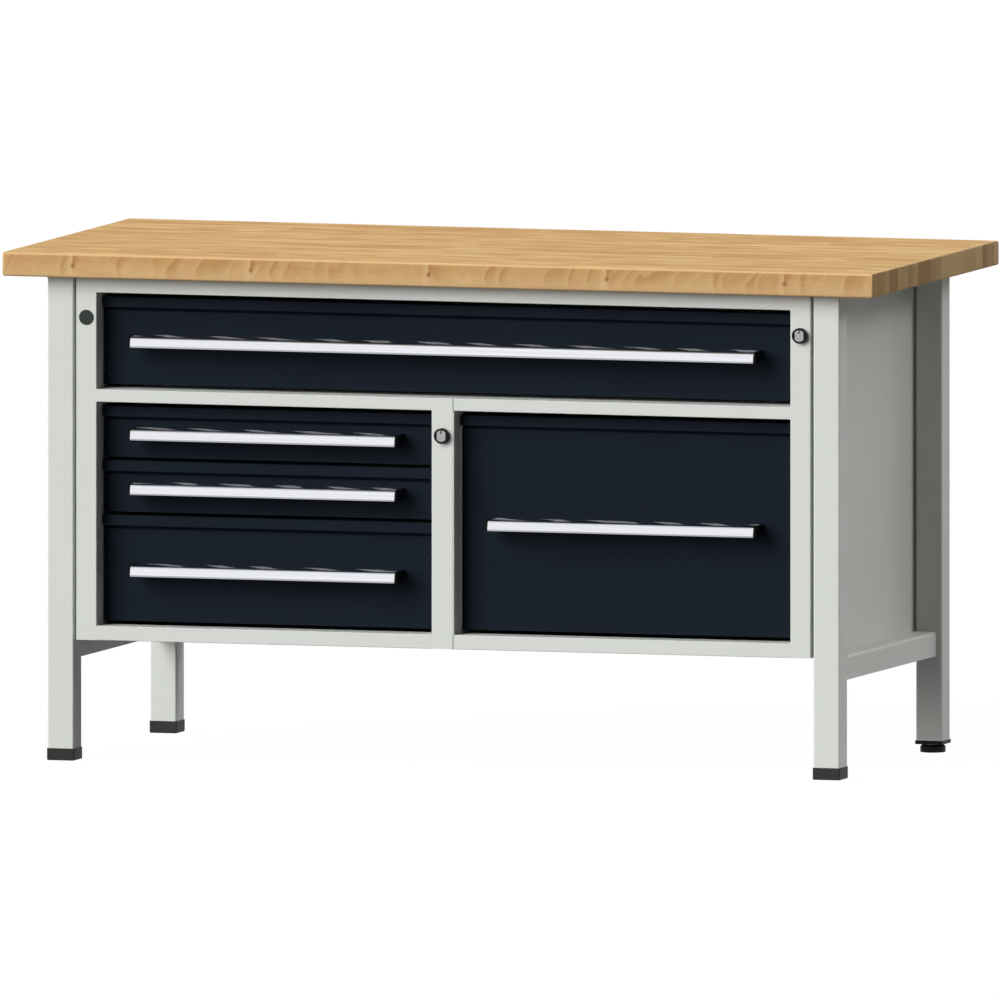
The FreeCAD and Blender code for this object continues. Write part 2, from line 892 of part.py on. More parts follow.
def channel(name, web, inward, y, z, depth, length, height, wall):
    """Channel along Y with its web at X = web and its flanges reaching inward (+1 or -1)."""
    low = web if inward > 0 else f"{web} - ({depth})"
    outer = block(name + "_outer", low, y, z, depth, length, height)
    hollow_low = f"{web} + {wall}" if inward > 0 else f"{web} - ({depth})"
    hollow = block(
        name + "_hollow",
        hollow_low,
        y,
        f"{z} + {wall}",
        f"{depth} - {wall}",
        length,
        f"{height} - 2 * {wall}",
    )
    return cut(name, outer, hollow)


def make_uprights():
    """Upright channels inside the walls, two to a wall, with their webs in line with the openings."""
    tall = "places.cabinet_height - sizes.sheet - 2 * sizes.joint_gap"
    short = "places.lower_height - sizes.sheet - 2 * sizes.joint_gap"
    rear = "places.cabinet_rear - sizes.upright_setback_rear"
    side_depth = "sizes.post_width - sizes.sheet - sizes.joint_gap"
    centre_depth = "sizes.centre_post_width - sizes.sheet - sizes.joint_gap"
    walls = [
        ("left", "-places.opening_half", -1, side_depth, tall),
        ("right", "places.opening_half", 1, side_depth, tall),
        ("centre", "places.seam_post_edge", 1, centre_depth, short),
    ]
    uprights = []
    for word, web, outward, depth, height in walls:
        for end, y in (("front", "places.runner_front"), ("rear", rear)):
            name = f"upright_{word}_{end}"
            low = web if outward > 0 else f"{web} - ({depth})"
            bottom = "places.cabinet_base + sizes.sheet + sizes.joint_gap"
            outer = block(name + "_outer", low, y, bottom, depth, "sizes.upright_width", height)
            hollow_low = f"{web} + sizes.sheet" if outward > 0 else low
            hollow = block(
                name + "_hollow",
                hollow_low,
                f"{y} + sizes.sheet",
                bottom,
                f"{depth} - sizes.sheet",
                "sizes.upright_width - 2 * sizes.sheet",
                height,
            )
            uprights.append(cut(name, outer, hollow))
    keep(group("upright_set", uprights), "runner_uprights")


cabinet_members = []


def make_runners(name, left_wall, right_wall, centre):
    """Three telescoping members on each side of a drawer, one inside the other."""
    wall = "sizes.runner_sheet"
    play = "sizes.runner_play"
    reach = "sizes.runner_room"
    middle_height = f"sizes.runner_height - 2 * ({wall} + {play})"
    inner_height = f"sizes.runner_height - 4 * ({wall} + {play})"
    flange = f"{reach} - 2 * ({wall} + {play})"
    middle_pair = []
    inner_pair = []
    for word, edge, inward in (("left", left_wall, 1), ("right", right_wall, -1)):
        cabinet_members.append(
            channel(
                f"{name}_cabinet_{word}",
                edge,
                inward,
                "places.runner_front",
                f"{centre} - sizes.runner_height / 2",
                flange,
                "places.runner_length",
                "sizes.runner_height",
                wall,
            )
        )
        middle_pair.append(
            channel(
                f"{name}_middle_{word}",
                f"{edge} + {inward} * ({wall} + {play})",
                inward,
                "places.runner_front",
                f"{centre} - ({middle_height}) / 2",
                flange,
                "places.runner_length",
                middle_height,
                wall,
            )
        )
        inner_pair.append(
            channel(
                f"{name}_inner_{word}",
                f"{edge} + {inward} * {reach}",
                -inward,
                "places.runner_front",
                f"{centre} - ({inner_height}) / 2",
                flange,
                "places.runner_length",
                inner_height,
                wall,
            )
        )
    keep(group(f"{name}_middle_set", middle_pair), f"{name}_middle_runners")
    keep(group(f"{name}_inner_set", inner_pair), f"{name}_inner_runners")


# Drawers

def make_front(name, left, right, base, height):
    """Folded steel front with a band along its top that stands proud of the panel over a groove.

    Behind the panel it is hollow, with flanges round its rear that the tray is fixed to.
    """
    body = new_body(name + "_front_body")
    section = sketch_on(body, "YZ_Plane")
    outline(
        section,
        [
            ("0", "0"),
            ("0", f"{height} - sizes.band_height - sizes.groove_height"),
            ("sizes.groove_depth", f"{height} - sizes.band_height - sizes.groove_height"),
            ("sizes.groove_depth", f"{height} - sizes.band_height"),
            ("-sizes.band_reach", f"{height} - sizes.band_height"),
            ("sizes.band_slope - sizes.band_reach", height),
            ("sizes.front_thickness", height),
            ("sizes.front_thickness", "0"),
        ],
    )
    pad(body, section, f"{right} - ({left})")
    reach = amount("band_reach")
    slope = amount("band_slope")
    round_edges(
        body,
        "sizes.band_edge_round",
        lambda start, end: all(close_to(p.y, -reach) or close_to(p.y, slope - reach) for p in (start, end))
        and not close_to(start.x, end.x),
    )
    round_edges(
        body,
        "sizes.front_edge_round",
        lambda start, end: close_to(start.y, 0) and close_to(end.y, 0),
    )
    cavity_face = "sizes.groove_depth + sizes.front_sheet"
    for margin, far_face in (
        ("sizes.front_sheet", "sizes.front_thickness - sizes.front_sheet"),
        ("sizes.front_flange", "sizes.front_thickness"),
    ):
        inner_block(
            body,
            "SubtractiveBox",
            margin,
            cavity_face,
            margin,
            f"{right} - ({left}) - 2 * {margin}",
            f"{far_face} - ({cavity_face})",
            f"{height} - 2 * {margin}",
        )
    place(body, left, "places.panel_face", base)
    keep(body, name + "_front")


def make_tray(name, left, right, base, height):
    """Open sheet steel tray behind the front."""
    tall = f"{height} - sizes.tray_lift - sizes.tray_drop"
    bottom = f"{base} + sizes.tray_lift"
    outer = block(
        name + "_tray_outer",
        left,
        "places.panel_rear",
        bottom,
        f"{right} - ({left})",
        "places.tray_depth",
        tall,
    )
    hollow = block(
        name + "_tray_hollow",
        f"{left} + sizes.tray_sheet",
        "places.panel_rear + sizes.tray_sheet",
        f"{bottom} + sizes.tray_sheet",
        f"{right} - ({left}) - 2 * sizes.tray_sheet",
        "places.tray_depth - 2 * sizes.tray_sheet",
        tall,
    )
    keep(cut(name + "_tray_cut", outer, hollow), name + "_tray")


def make_handle(name, left, right, level):
    """Hooked strip: a flange on the front, a web over the fingers and a crowned grip, with two end caps.

    Its length runs from left to right, caps included. Section corners are given as distance in front of
    the panel, which is -Y, and height about the middle.
    """
    half = "sizes.handle_height / 2"
    wall = "sizes.handle_wall"
    reach = "sizes.handle_reach"
    slope = "sizes.handle_slope"
    flange_foot = f"sizes.handle_flange_drop - {half}"
    cap_thickness = "sizes.handle_cap_thickness"
    strip = f"{right} - ({left}) - 2 * {cap_thickness}"
    body = new_body(name + "_handle_body")
    section = sketch_on(body, "YZ_Plane")
    outline(
        section,
        [
            ("0", half),
            ("0", flange_foot),
            (f"-{wall}", flange_foot),
            (f"-{wall}", f"{half} - {wall}"),
            (f"{wall} + {slope} - {reach}", f"{half} - {wall}"),
            (f"{wall} - {reach}", f"-{half}"),
            (f"-{reach}", f"-{half}"),
            (f"{slope} - {reach}", half),
        ],
    )
    pad(body, section, strip)
    crown = amount("handle_slope") - amount("handle_reach")
    top = amount("handle_height") / 2
    wall_size = amount("handle_wall")
    round_edges(
        body,
        "sizes.handle_crown_round",
        lambda start, end: all(close_to(p.y, crown) and close_to(p.z, top) for p in (start, end)),
    )
    round_edges(
        body,
        "sizes.handle_crown_round - sizes.handle_wall",
        lambda start, end: all(
            close_to(p.y, crown + wall_size) and close_to(p.z, top - wall_size) for p in (start, end)
        ),
    )
    place(body, f"{left} + {cap_thickness}", "places.panel_face", level)
    keep(body, name + "_handle")

    margin = "sizes.handle_cap_margin"
    caps = []
    for word, low in (("left", left), ("right", f"{right} - {cap_thickness}")):
        cap = new_body(f"{name}_cap_{word}")
        outer_shape = sketch_on(cap, "YZ_Plane")
        outline(
            outer_shape,
            [
                ("0", f"{half} + {margin}"),
                (f"{slope} - {reach} - {margin}", f"{half} + {margin}"),
                (f"-{reach} - {margin}", f"-{half} - {margin}"),
                (f"-{reach} + sizes.handle_cap_foot", f"-{half} - {margin}"),
                ("0", f"{margin} - {half} / 2"),
            ],
        )
        pad(cap, outer_shape, cap_thickness)
        crown_y = crown - amount("handle_cap_margin")
        crown_z = top + amount("handle_cap_margin")
        round_edges(
            cap,
            "sizes.handle_crown_round",
            lambda start, end: all(close_to(p.y, crown_y) and close_to(p.z, crown_z) for p in (start, end)),
        )
        place(cap, low, "places.panel_face", level)
        caps.append(cap)
    keep(group(name + "_cap_pair", caps), name + "_handle_caps")


# Each bay: left and right edge of its opening, and the wall that its left runners stand against
LEFT_BAY = ("-places.opening_half", "places.seam_post_edge", "-places.opening_half")
DEEP_BAY = ("places.deep_bay_left", "places.opening_half", "places.deep_runner_left")
WIDE_BAY = ("-places.opening_half", "places.opening_half", "-places.opening_half")
SMALL_FRONT = "(sizes.small_front_spacing - sizes.front_gap)"
TALL_FRONT = "(sizes.tall_front_spacing - sizes.front_gap)"

# Name, bay, bottom and height of the front, and whose offset its handle has from the front's middle
DRAWERS = [
    ("wide_drawer", WIDE_BAY, "places.wide_fronts", "places.wide_front_height", "wide"),
    (
        "upper_drawer",
        LEFT_BAY,
        "(places.lower_fronts + sizes.tall_front_spacing + sizes.small_front_spacing)",
        SMALL_FRONT,
        "left",
    ),
    ("middle_drawer", LEFT_BAY, "(places.lower_fronts + sizes.tall_front_spacing)", SMALL_FRONT, "left"),
    ("lower_drawer", LEFT_BAY, "places.lower_fronts", TALL_FRONT, "left"),
    ("deep_drawer", DEEP_BAY, "places.lower_fronts", "places.left_stack_height", "deep"),
]


def make_drawers():
    """Each drawer with its front, tray, handle and runners."""
    for name, (left, right, left_wall), base, height, set_name in DRAWERS:
        side_gap = "sizes.front_gap_side"
        make_front(name, f"{left} + {side_gap}", f"{right} - {side_gap}", base, height)
        room = "sizes.runner_room"
        make_tray(name, f"{left_wall} + {room}", f"{right} - {room}", base, height)
        level = f"{base} + {height} / 2 + sizes.{set_name}_handle_offset"
        inset = "sizes.handle_inset"
        make_handle(name, f"{left} + {inset}", f"{right} - {inset}", level)
        make_runners(name, left_wall, right, f"{base} + sizes.tray_lift + sizes.runner_lift")
    keep(group("cabinet_member_set", cabinet_members), "cabinet_runners")


# Locks

LOCKS = [
    ("centre", "places.centre_lock_place", "places.lower_lock_height"),
    ("right", "places.side_lock_place", "places.upper_lock_height"),
]


def make_collars():
    """Rings round the lock barrels, standing on the face of the posts."""
    collars = []
    for word, x, z in LOCKS:
        ring = turned(
            "collar_" + word,
            [
                ("places.collar_bore", "0"),
                ("sizes.collar_radius", "0"),
                ("sizes.collar_radius", "sizes.collar_height - sizes.collar_chamfer"),
                ("sizes.collar_radius - sizes.collar_chamfer", "sizes.collar_height"),
                ("places.collar_bore", "sizes.collar_height"),
            ],
        )
        face_front(ring)
        place(ring, x, "places.frame_front", z)
        collars.append(ring)
    keep(group("collar_pair", collars), "lock_collars")


def make_barrels():
    """Key cylinders: a flat sided head with a key slot, a shank through the post and a cam behind it."""
    radius = "sizes.barrel_radius"
    head_depth = "sizes.barrel_head_depth"
    head_base = f"sizes.collar_height - sizes.barrel_sink - {head_depth}"
    shank_base = f"{head_base} - sizes.shank_length"
    for word, x, z in LOCKS:
        name = "barrel_" + word
        full = cylinder(name + "_full", "0", "0", head_base, radius, head_depth)
        flats = block(
            name + "_flats",
            "-sizes.barrel_flat_width / 2",
            f"-{radius}",
            head_base,
            "sizes.barrel_flat_width",
            f"2 * {radius}",
            head_depth,
        )
        head = doc.addObject("Part::MultiCommon", name + "_head")
        head.Shapes = [full, flats]
        shank = cylinder(name + "_shank", "0", "0", shank_base, "sizes.shank_radius", "sizes.shank_length")
        cam = block(
            name + "_cam",
            "-sizes.cam_width / 2",
            "-sizes.cam_reach",
            shank_base,
            "sizes.cam_width",
            "sizes.cam_reach",
            "sizes.cam_thickness",
        )
        slot = block(
            name + "_slot",
            "-sizes.key_slot_width / 2",
            f"{radius} - sizes.key_slot_height",
            "sizes.collar_height - sizes.barrel_sink - sizes.key_slot_depth",
            "sizes.key_slot_width",
            "sizes.key_slot_height",
            "sizes.key_slot_depth",
        )
        barrel = cut(name, fuse(name + "_solid", [head, shank, cam]), slot)
        face_front(barrel)
        place(barrel, x, "places.frame_front", z)
        keep(barrel, "lock_barrel_" + word)


def make_lock_bar():
    """Flat bar inside the centre post, beside the jamb, which the centre lock lifts."""
    bar = block(
        "bar_block",
        "places.seam_post_edge + sizes.sheet + sizes.lock_bar_play",
        "places.frame_front + sizes.sheet + sizes.lock_bar_play",
        "places.lower_lock_height + sizes.lock_bar_above_axis - sizes.lock_bar_length",
        "sizes.lock_bar_thickness",
        "sizes.lock_bar_width",
        "sizes.lock_bar_length",
    )
    keep(bar, "lock_bar")


def make_plug():
    """Flat plug that closes the spare lock hole in the left post."""
    plug = turned(
        "post_plug",
        [
            ("0", "-sizes.plug_stem_length"),
            ("sizes.plug_stem_radius", "-sizes.plug_stem_length"),
            ("sizes.plug_stem_radius", "0"),
            ("sizes.plug_radius", "0"),
            ("sizes.plug_radius", "sizes.plug_height / 2"),
            ("sizes.plug_radius - sizes.plug_height / 2", "sizes.plug_height"),
            ("0", "sizes.plug_height"),
        ],
    )
    face_front(plug)
    place(plug, "-places.side_lock_place", "places.frame_front", "places.upper_lock_height")
    keep(plug, "blanking_plug")


make_worktop()
make_legs()
make_top_bars()
make_side_rails()
make_rear_rail()
make_frame_screws()
make_foot_caps()
make_leveller()
make_walls()
make_rails_and_floors()
make_uprights()
make_drawers()
make_collars()
make_barrels()
make_lock_bar()
make_plug()
doc.recompute()

# Check every object, then write one file for each sub-part

failed = [item.Label for item in doc.Objects if "Invalid" in item.State or "Error" in item.State]
failed += [item.Label for item in parts if item.Shape.isNull() or not item.Shape.isValid()]
if failed:
    raise RuntimeError("these objects did not build: " + ", ".join(failed))

os.makedirs("parts", exist_ok=True)
for item in parts:
    item.Shape.exportStep(os.path.join("parts", item.Label + ".step"))
    box = item.Shape.BoundBox
    extents = (box.XMin, box.YMin, box.ZMin, box.XMax, box.YMax, box.ZMax)
    corners = ", ".join(f"{value:.2f}" for value in extents)
    print(f"{item.Label}: {len(item.Shape.Solids)} solids, {item.Shape.Volume:.0f} mm3, {corners}")
print(len(parts), "sub-parts")
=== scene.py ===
import json
import math

import bpy
import numpy as np
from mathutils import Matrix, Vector


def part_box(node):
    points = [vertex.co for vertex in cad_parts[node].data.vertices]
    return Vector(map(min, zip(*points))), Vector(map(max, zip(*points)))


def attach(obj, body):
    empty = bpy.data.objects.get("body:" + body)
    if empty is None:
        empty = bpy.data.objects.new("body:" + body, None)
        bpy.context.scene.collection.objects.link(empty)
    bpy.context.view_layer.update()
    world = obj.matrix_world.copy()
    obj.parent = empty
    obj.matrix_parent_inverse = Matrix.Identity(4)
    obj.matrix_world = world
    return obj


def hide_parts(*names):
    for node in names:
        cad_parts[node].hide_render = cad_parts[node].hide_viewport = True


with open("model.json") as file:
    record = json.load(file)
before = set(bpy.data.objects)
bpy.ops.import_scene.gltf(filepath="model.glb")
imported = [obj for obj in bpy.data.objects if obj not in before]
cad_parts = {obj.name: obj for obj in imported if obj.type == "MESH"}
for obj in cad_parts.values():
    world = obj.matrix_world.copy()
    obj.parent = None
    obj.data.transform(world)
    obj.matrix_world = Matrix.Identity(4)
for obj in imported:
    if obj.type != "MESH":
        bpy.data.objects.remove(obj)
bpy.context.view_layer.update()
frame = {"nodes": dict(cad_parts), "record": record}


# Places from the frame

SLAB_LOW, SLAB_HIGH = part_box("worktop")
SLAB_MIDDLE = (SLAB_LOW + SLAB_HIGH) / 2
SLAB_HALF = (SLAB_HIGH - SLAB_LOW) / 2
CABINET_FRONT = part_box("top_rail")[0].y
LOCK_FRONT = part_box("lock_barrel_centre")[0].y


# Shader helpers

def screen(red, green, blue):
    """Colour as a screen shows it, 0 to 255, turned into the linear values that a shader takes."""
    share = np.array([red, green, blue]) / 255
    linear = np.where(share <= 0.04045, share / 12.92, ((share + 0.055) / 1.055) ** 2.4)
    return (*linear.tolist(), 1.0)


def scaled(colour, factor):
    """Opaque colour with its three channels multiplied."""
    return tuple(value * factor for value in colour[:3]) + (1.0,)


def fill(tree, item, inputs):
    """Sockets of a node, by name or number, linked to other sockets or set to plain values."""
    for socket, value in inputs.items():
        if isinstance(value, bpy.types.NodeSocket):
            tree.links.new(value, item.inputs[socket])
        else:
            item.inputs[socket].default_value = value


def add(tree, kind, inputs=None, **settings):
    """One shader node, with its properties set and its sockets filled."""
    item = tree.nodes.new("ShaderNode" + kind)
    for name, value in settings.items():
        setattr(item, name, value)
    fill(tree, item, inputs or {})
    return item


def maths(tree, operation, first, second=0.0):
    """Result of one operation on values."""
    return add(tree, "Math", {0: first, 1: second}, operation=operation).outputs[0]


def plus(tree, first, second):
    """Sum of two values."""
    return maths(tree, "ADD", first, second)


def minus(tree, first, second):
    """First value less the second."""
    return maths(tree, "SUBTRACT", first, second)


def times(tree, first, second):
    """Product of two values."""
    return maths(tree, "MULTIPLY", first, second)


def over(tree, first, second):
    """First value divided by the second."""
    return maths(tree, "DIVIDE", first, second)


def vector_maths(tree, operation, first, second=(0.0, 0.0, 0.0)):
    """Result of one operation on places, axis by axis."""
    return add(tree, "VectorMath", {0: first, 1: second}, operation=operation).outputs[0]


def stretched(tree, place, x, y, z):
    """Place multiplied along each axis."""
    return vector_maths(tree, "MULTIPLY", place, (x, y, z))


def axes(tree, place):
    """The three values of a place."""
    return add(tree, "SeparateXYZ", {0: place}).outputs


def gathered(tree, x, y, z):
    """Place made of three values."""
    return add(tree, "CombineXYZ", {0: x, 1: y, 2: z}).outputs[0]


def noise(tree, place, scale, detail=2.0, roughness=0.5, distortion=0.0):
    """Soft random value about 0.5, with scale turns per metre."""
    values = {"Scale": scale, "Detail": detail, "Roughness": roughness, "Distortion": distortion}
    return add(tree, "TexNoise", {"Vector": place, **values}).outputs["Fac"]


def grain_noise(tree, place, along, across, **values):
    """Noise drawn out along X, with its own turns per metre along the grain and across it."""
    return noise(tree, stretched(tree, place, along, across, across), 1.0, **values)


def ranged(tree, value, low, high, to_low=0.0, to_high=1.0, smooth=False):
    """Value carried from one range to another and held at its ends."""
    kind = "SMOOTHSTEP" if smooth else "LINEAR"
    values = {0: value, 1: low, 2: high, 3: to_low, 4: to_high}
    return add(tree, "MapRange", values, interpolation_type=kind).outputs[0]


def blended(tree, share, first, second):
    """Two colours mixed by share."""
    return add(tree, "Mix", {0: share, 6: first, 7: second}, data_type="RGBA").outputs[2]


def stained(tree, tone, mask, most, colour):
    """Tone mixed towards a colour, by most where the mask is 1."""
    return blended(tree, times(tree, mask, most), tone, colour)


def tinted(tree, tone, value, low, high, most, colour, smooth=False):
    """Tone mixed towards a colour, from not at all where value is low to most where it is high."""
    return blended(tree, ranged(tree, value, low, high, 0.0, most, smooth), tone, colour)


def new_group(name, inputs, outputs):
    """Empty shader node group, its inputs given with kind and default, and its outputs all values."""
    tree = bpy.data.node_groups.new(name, "ShaderNodeTree")
    for socket, (kind, default) in inputs.items():
        made = tree.interface.new_socket(name=socket, in_out="INPUT", socket_type="NodeSocket" + kind)
        made.default_value = default
    for socket in outputs:
        tree.interface.new_socket(name=socket, in_out="OUTPUT", socket_type="NodeSocketFloat")
    return tree, tree.nodes.new("NodeGroupInput").outputs, tree.nodes.new("NodeGroupOutput")


def place_group(tree, group, inputs):
    """Outputs of the group, placed in a material."""
    return add(tree, "Group", inputs, node_tree=group).outputs


def bare_tree(owner):
    """Emptied node tree of a material or a world."""
    owner.use_nodes = True
    owner.node_tree.nodes.clear()
    return owner.node_tree


def new_material(name):
    """Material with a Principled surface, and the place on the object that its patterns read."""
    material = bpy.data.materials.new(name)
    tree = bare_tree(material)
    surface = add(tree, "BsdfPrincipled")
    add(tree, "OutputMaterial", {0: surface.outputs[0]})
    place = add(tree, "TexCoord").outputs["Object"]
    return material, tree, surface, place


def bump(tree, surface, height, depth):
    """Relief of the given depth in metres on the surface."""
    relief = add(tree, "Bump", {"Height": height, "Strength": 1.0, "Distance": depth})
    fill(tree, surface, {"Normal": relief.outputs[0]})


# Shared effects

STAVE_SWAY = 0.34
STAVE_SWAY_RATE = 46.0
STAVE_START_SPREAD = 7.0
GLUE_LINE = 0.0007


def make_stave_pattern():
    """Glued staves along X: rows of uneven width, each cut into lengths that start at a random place.

    across = y / width + 0.34 sin(46 y), row = floor(across), along = x / length + 7 random(row) and
    piece = floor(along). Tone is the mean of random(row) and random(row, piece), and Shift is another
    random(row, piece). Joint is 1 on a glue line between rows or pieces.
    """
    inputs = {"Place": ("Vector", (0, 0, 0)), "Width": ("Float", 0.044), "Length": ("Float", 0.45)}
    tree, given, result = new_group("stave_pattern", inputs, ["Tone", "Shift", "Joint"])
    x, y, _ = axes(tree, given["Place"])
    sway = maths(tree, "SINE", times(tree, y, STAVE_SWAY_RATE))
    across = plus(tree, over(tree, y, given["Width"]), times(tree, sway, STAVE_SWAY))
    row = maths(tree, "FLOOR", across)
    row_draw = add(tree, "TexWhiteNoise", {"W": row}, noise_dimensions="1D").outputs
    start = times(tree, row_draw["Value"], STAVE_START_SPREAD)
    along = plus(tree, over(tree, x, given["Length"]), start)
    cell = gathered(tree, row, maths(tree, "FLOOR", along), 0.5)
    piece_draw = add(tree, "TexWhiteNoise", {"Vector": cell}, noise_dimensions="3D").outputs
    gaps = []
    for run, size in ((across, given["Width"]), (along, given["Length"])):
        gaps.append(times(tree, maths(tree, "PINGPONG", run, 0.5), size))
    nearest = maths(tree, "MINIMUM", gaps[0], gaps[1])
    row_tone = add(tree, "SeparateColor", {0: row_draw["Color"]}).outputs["Blue"]
    tone = times(tree, plus(tree, row_tone, piece_draw["Value"]), 0.5)
    shift = add(tree, "SeparateColor", {0: piece_draw["Color"]}).outputs["Green"]
    joint = ranged(tree, nearest, 0.0, GLUE_LINE, 1.0, 0.0, smooth=True)
    fill(tree, result, {"Tone": tone, "Shift": shift, "Joint": joint})
    return tree


def make_beech_grain():
    """Grain of beech along X, each effect as noise drawn out along it by its own measure.

    Patch is soft blotches 100 mm long and 30 mm wide, Streak finer lines, Vein the cores of dark growth
    lines, Pore the fine pores. A Fleck, where a wood ray shows, is the core of a Voronoi cell 3 mm long and
    half a millimetre wide. Shift moves all of them, so that each stave has its own.
    """
    inputs = {"Place": ("Vector", (0, 0, 0)), "Shift": ("Float", 0.0)}
    tree, given, result = new_group("beech_grain", inputs, ["Patch", "Streak", "Vein", "Pore", "Fleck"])
    offset = stretched(tree, gathered(tree, given["Shift"], given["Shift"], 0.0), 11.0, 3.7, 0.0)
    place = vector_maths(tree, "ADD", given["Place"], offset)
    streak = grain_noise(tree, place, along=3.0, across=75.0, detail=3.0, roughness=0.6, distortion=0.3)
    vein = grain_noise(tree, place, along=6.0, across=46.0, detail=1.0, roughness=0.4, distortion=0.2)
    cells = {"Vector": stretched(tree, place, 330.0, 1900.0, 1900.0), "Scale": 1.0}
    masks = {
        "Patch": grain_noise(tree, place, along=10.0, across=34.0, detail=1.0),
        "Streak": streak,
        "Vein": ranged(tree, vein, 0.56, 0.7, smooth=True),
        "Pore": grain_noise(tree, place, along=14.0, across=620.0),
        "Fleck": ranged(tree, add(tree, "TexVoronoi", cells).outputs["Distance"], 0.12, 0.3, 1.0, 0.0),
    }
    fill(tree, result, masks)
    return tree


def make_arris_highlight():
    """Mask of a painted highlight along the slab's arrises: Arris is 1 on its edges and falls to 0 at Reach
    from them.

    Of the distances to the slab's three pairs of faces, the middle one by size is the larger of the two to
    the nearest edge's faces, and stands for the distance to that edge.
    """
    inputs = {"Place": ("Vector", (0, 0, 0)), "Reach": ("Float", 0.005)}
    tree, given, result = new_group("arris_highlight", inputs, ["Arris"])
    centred = vector_maths(tree, "SUBTRACT", given["Place"], SLAB_MIDDLE)
    inside = vector_maths(tree, "SUBTRACT", SLAB_HALF, vector_maths(tree, "ABSOLUTE", centred))
    x, y, z = axes(tree, inside)
    least = maths(tree, "MINIMUM", maths(tree, "MINIMUM", x, y), z)
    most = maths(tree, "MAXIMUM", maths(tree, "MAXIMUM", x, y), z)
    whole = plus(tree, plus(tree, x, y), z)
    between = minus(tree, minus(tree, whole, least), most)
    share = over(tree, between, given["Reach"])
    fill(tree, result, {"Arris": ranged(tree, share, 0.35, 1.0, 1.0, 0.0, smooth=True)})
    return tree


def make_powder_coat():
    """Fine pebbled skin: Grain is close noise, Cloud slow drift, Smudge the marks of handling."""
    inputs = {"Place": ("Vector", (0, 0, 0)), "Grain Scale": ("Float", 900.0)}
    tree, given, result = new_group("powder_coat", inputs, ["Grain", "Cloud", "Smudge"])
    place = given["Place"]
    masks = {
        "Grain": noise(tree, place, given["Grain Scale"], 2.0, 0.6),
        "Cloud": noise(tree, place, 4.0, 3.0),
        "Smudge": ranged(tree, noise(tree, place, 17.0, 4.0, 0.65, 0.8), 0.48, 0.72),
    }
    fill(tree, result, masks)
    return tree


def make_drawn_lines():
    """Fine lines left by rolling, drawing or brushing along one axis, with slow bands between them."""
    tree, given, result = new_group("drawn_lines", {"Place": ("Vector", (0, 0, 0))}, ["Line", "Band"])
    line = noise(tree, given["Place"], 1.0, 3.0, 0.7)
    band = noise(tree, given["Place"], 0.06)
    fill(tree, result, {"Line": line, "Band": band})
    return tree


STAVES = make_stave_pattern()
GRAIN = make_beech_grain()
ARRIS = make_arris_highlight()
COAT = make_powder_coat()
LINES = make_drawn_lines()


# Wood

STAVE_WIDTH = 0.0415
STAVE_LENGTH = 0.52
WOOD_SHEEN = 0.06
WOOD_RELIEF = 0.00012
PORE_SHARE = 0.6
FACE_ARRIS_REACH = 0.012
EDGE_ARRIS_REACH = 0.005
# Colour of the painted highlight along the slab's rounded arrises.
ARRIS_HIGHLIGHT = screen(226, 188, 136)
FACE_TONES = {
    "dark stave": screen(199, 151, 85),
    "pale stave": screen(224, 185, 118),
    "reddish stave": screen(214, 164, 103),
    "dark patch": screen(192, 141, 73),
    "pale patch": screen(230, 196, 129),
    "dark streak": screen(188, 136, 73),
    "pale streak": screen(232, 199, 133),
    "vein": screen(176, 122, 62),
    "pore": screen(165, 117, 59),
    "fleck": screen(155, 101, 55),
    "joint": screen(146, 97, 53),
}

SCALLOP_LENGTH = 0.036
SCALLOP_BOW = 20.0
SCALLOP_DROP = 0.006
SCALLOP_SWAY = 3.4
KNOT_START = -0.628
KNOT_SPACING = 0.3065
KNOT_REACH = 0.005
FAN_LENGTH = 0.017
FAN_SLOPE = 0.9
EDGE_SHIFT = 0.37
EDGE_TONES = {
    "upper part": screen(194, 154, 102),
    "lower part": screen(205, 171, 123),
    "pale scallop": screen(203, 161, 114),
    "scallop rim": screen(166, 120, 71),
    "scallop end": screen(215, 181, 133),
    "streak": screen(178, 134, 84),
    "pore": screen(152, 106, 61),
    "fleck": screen(142, 94, 53),
    "fan": screen(168, 117, 68),
    "knot light": screen(213, 183, 137),
    "knot": screen(128, 80, 43),
}

RING_BEND = 40.0
RING_LEAN = 0.8
END_TONES = {
    "dark stave": screen(146, 118, 78),
    "pale stave": screen(189, 161, 117),
    "band": screen(150, 114, 72),
    "ring": screen(140, 102, 64),
    "pore": screen(118, 84, 52),
    "joint": screen(120, 84, 50),
}


def finish_wood(tree, surface, colour, height, pores, closed, opened):
    """Oiled wood: low sheen, duller where its pores are open, and a shallow relief."""
    roughness = ranged(tree, pores, 0.3, 0.7, closed, opened)
    looks = {"Base Color": colour, "Roughness": roughness, "Specular IOR Level": WOOD_SHEEN}
    fill(tree, surface, looks)
    bump(tree, surface, height, WOOD_RELIEF)


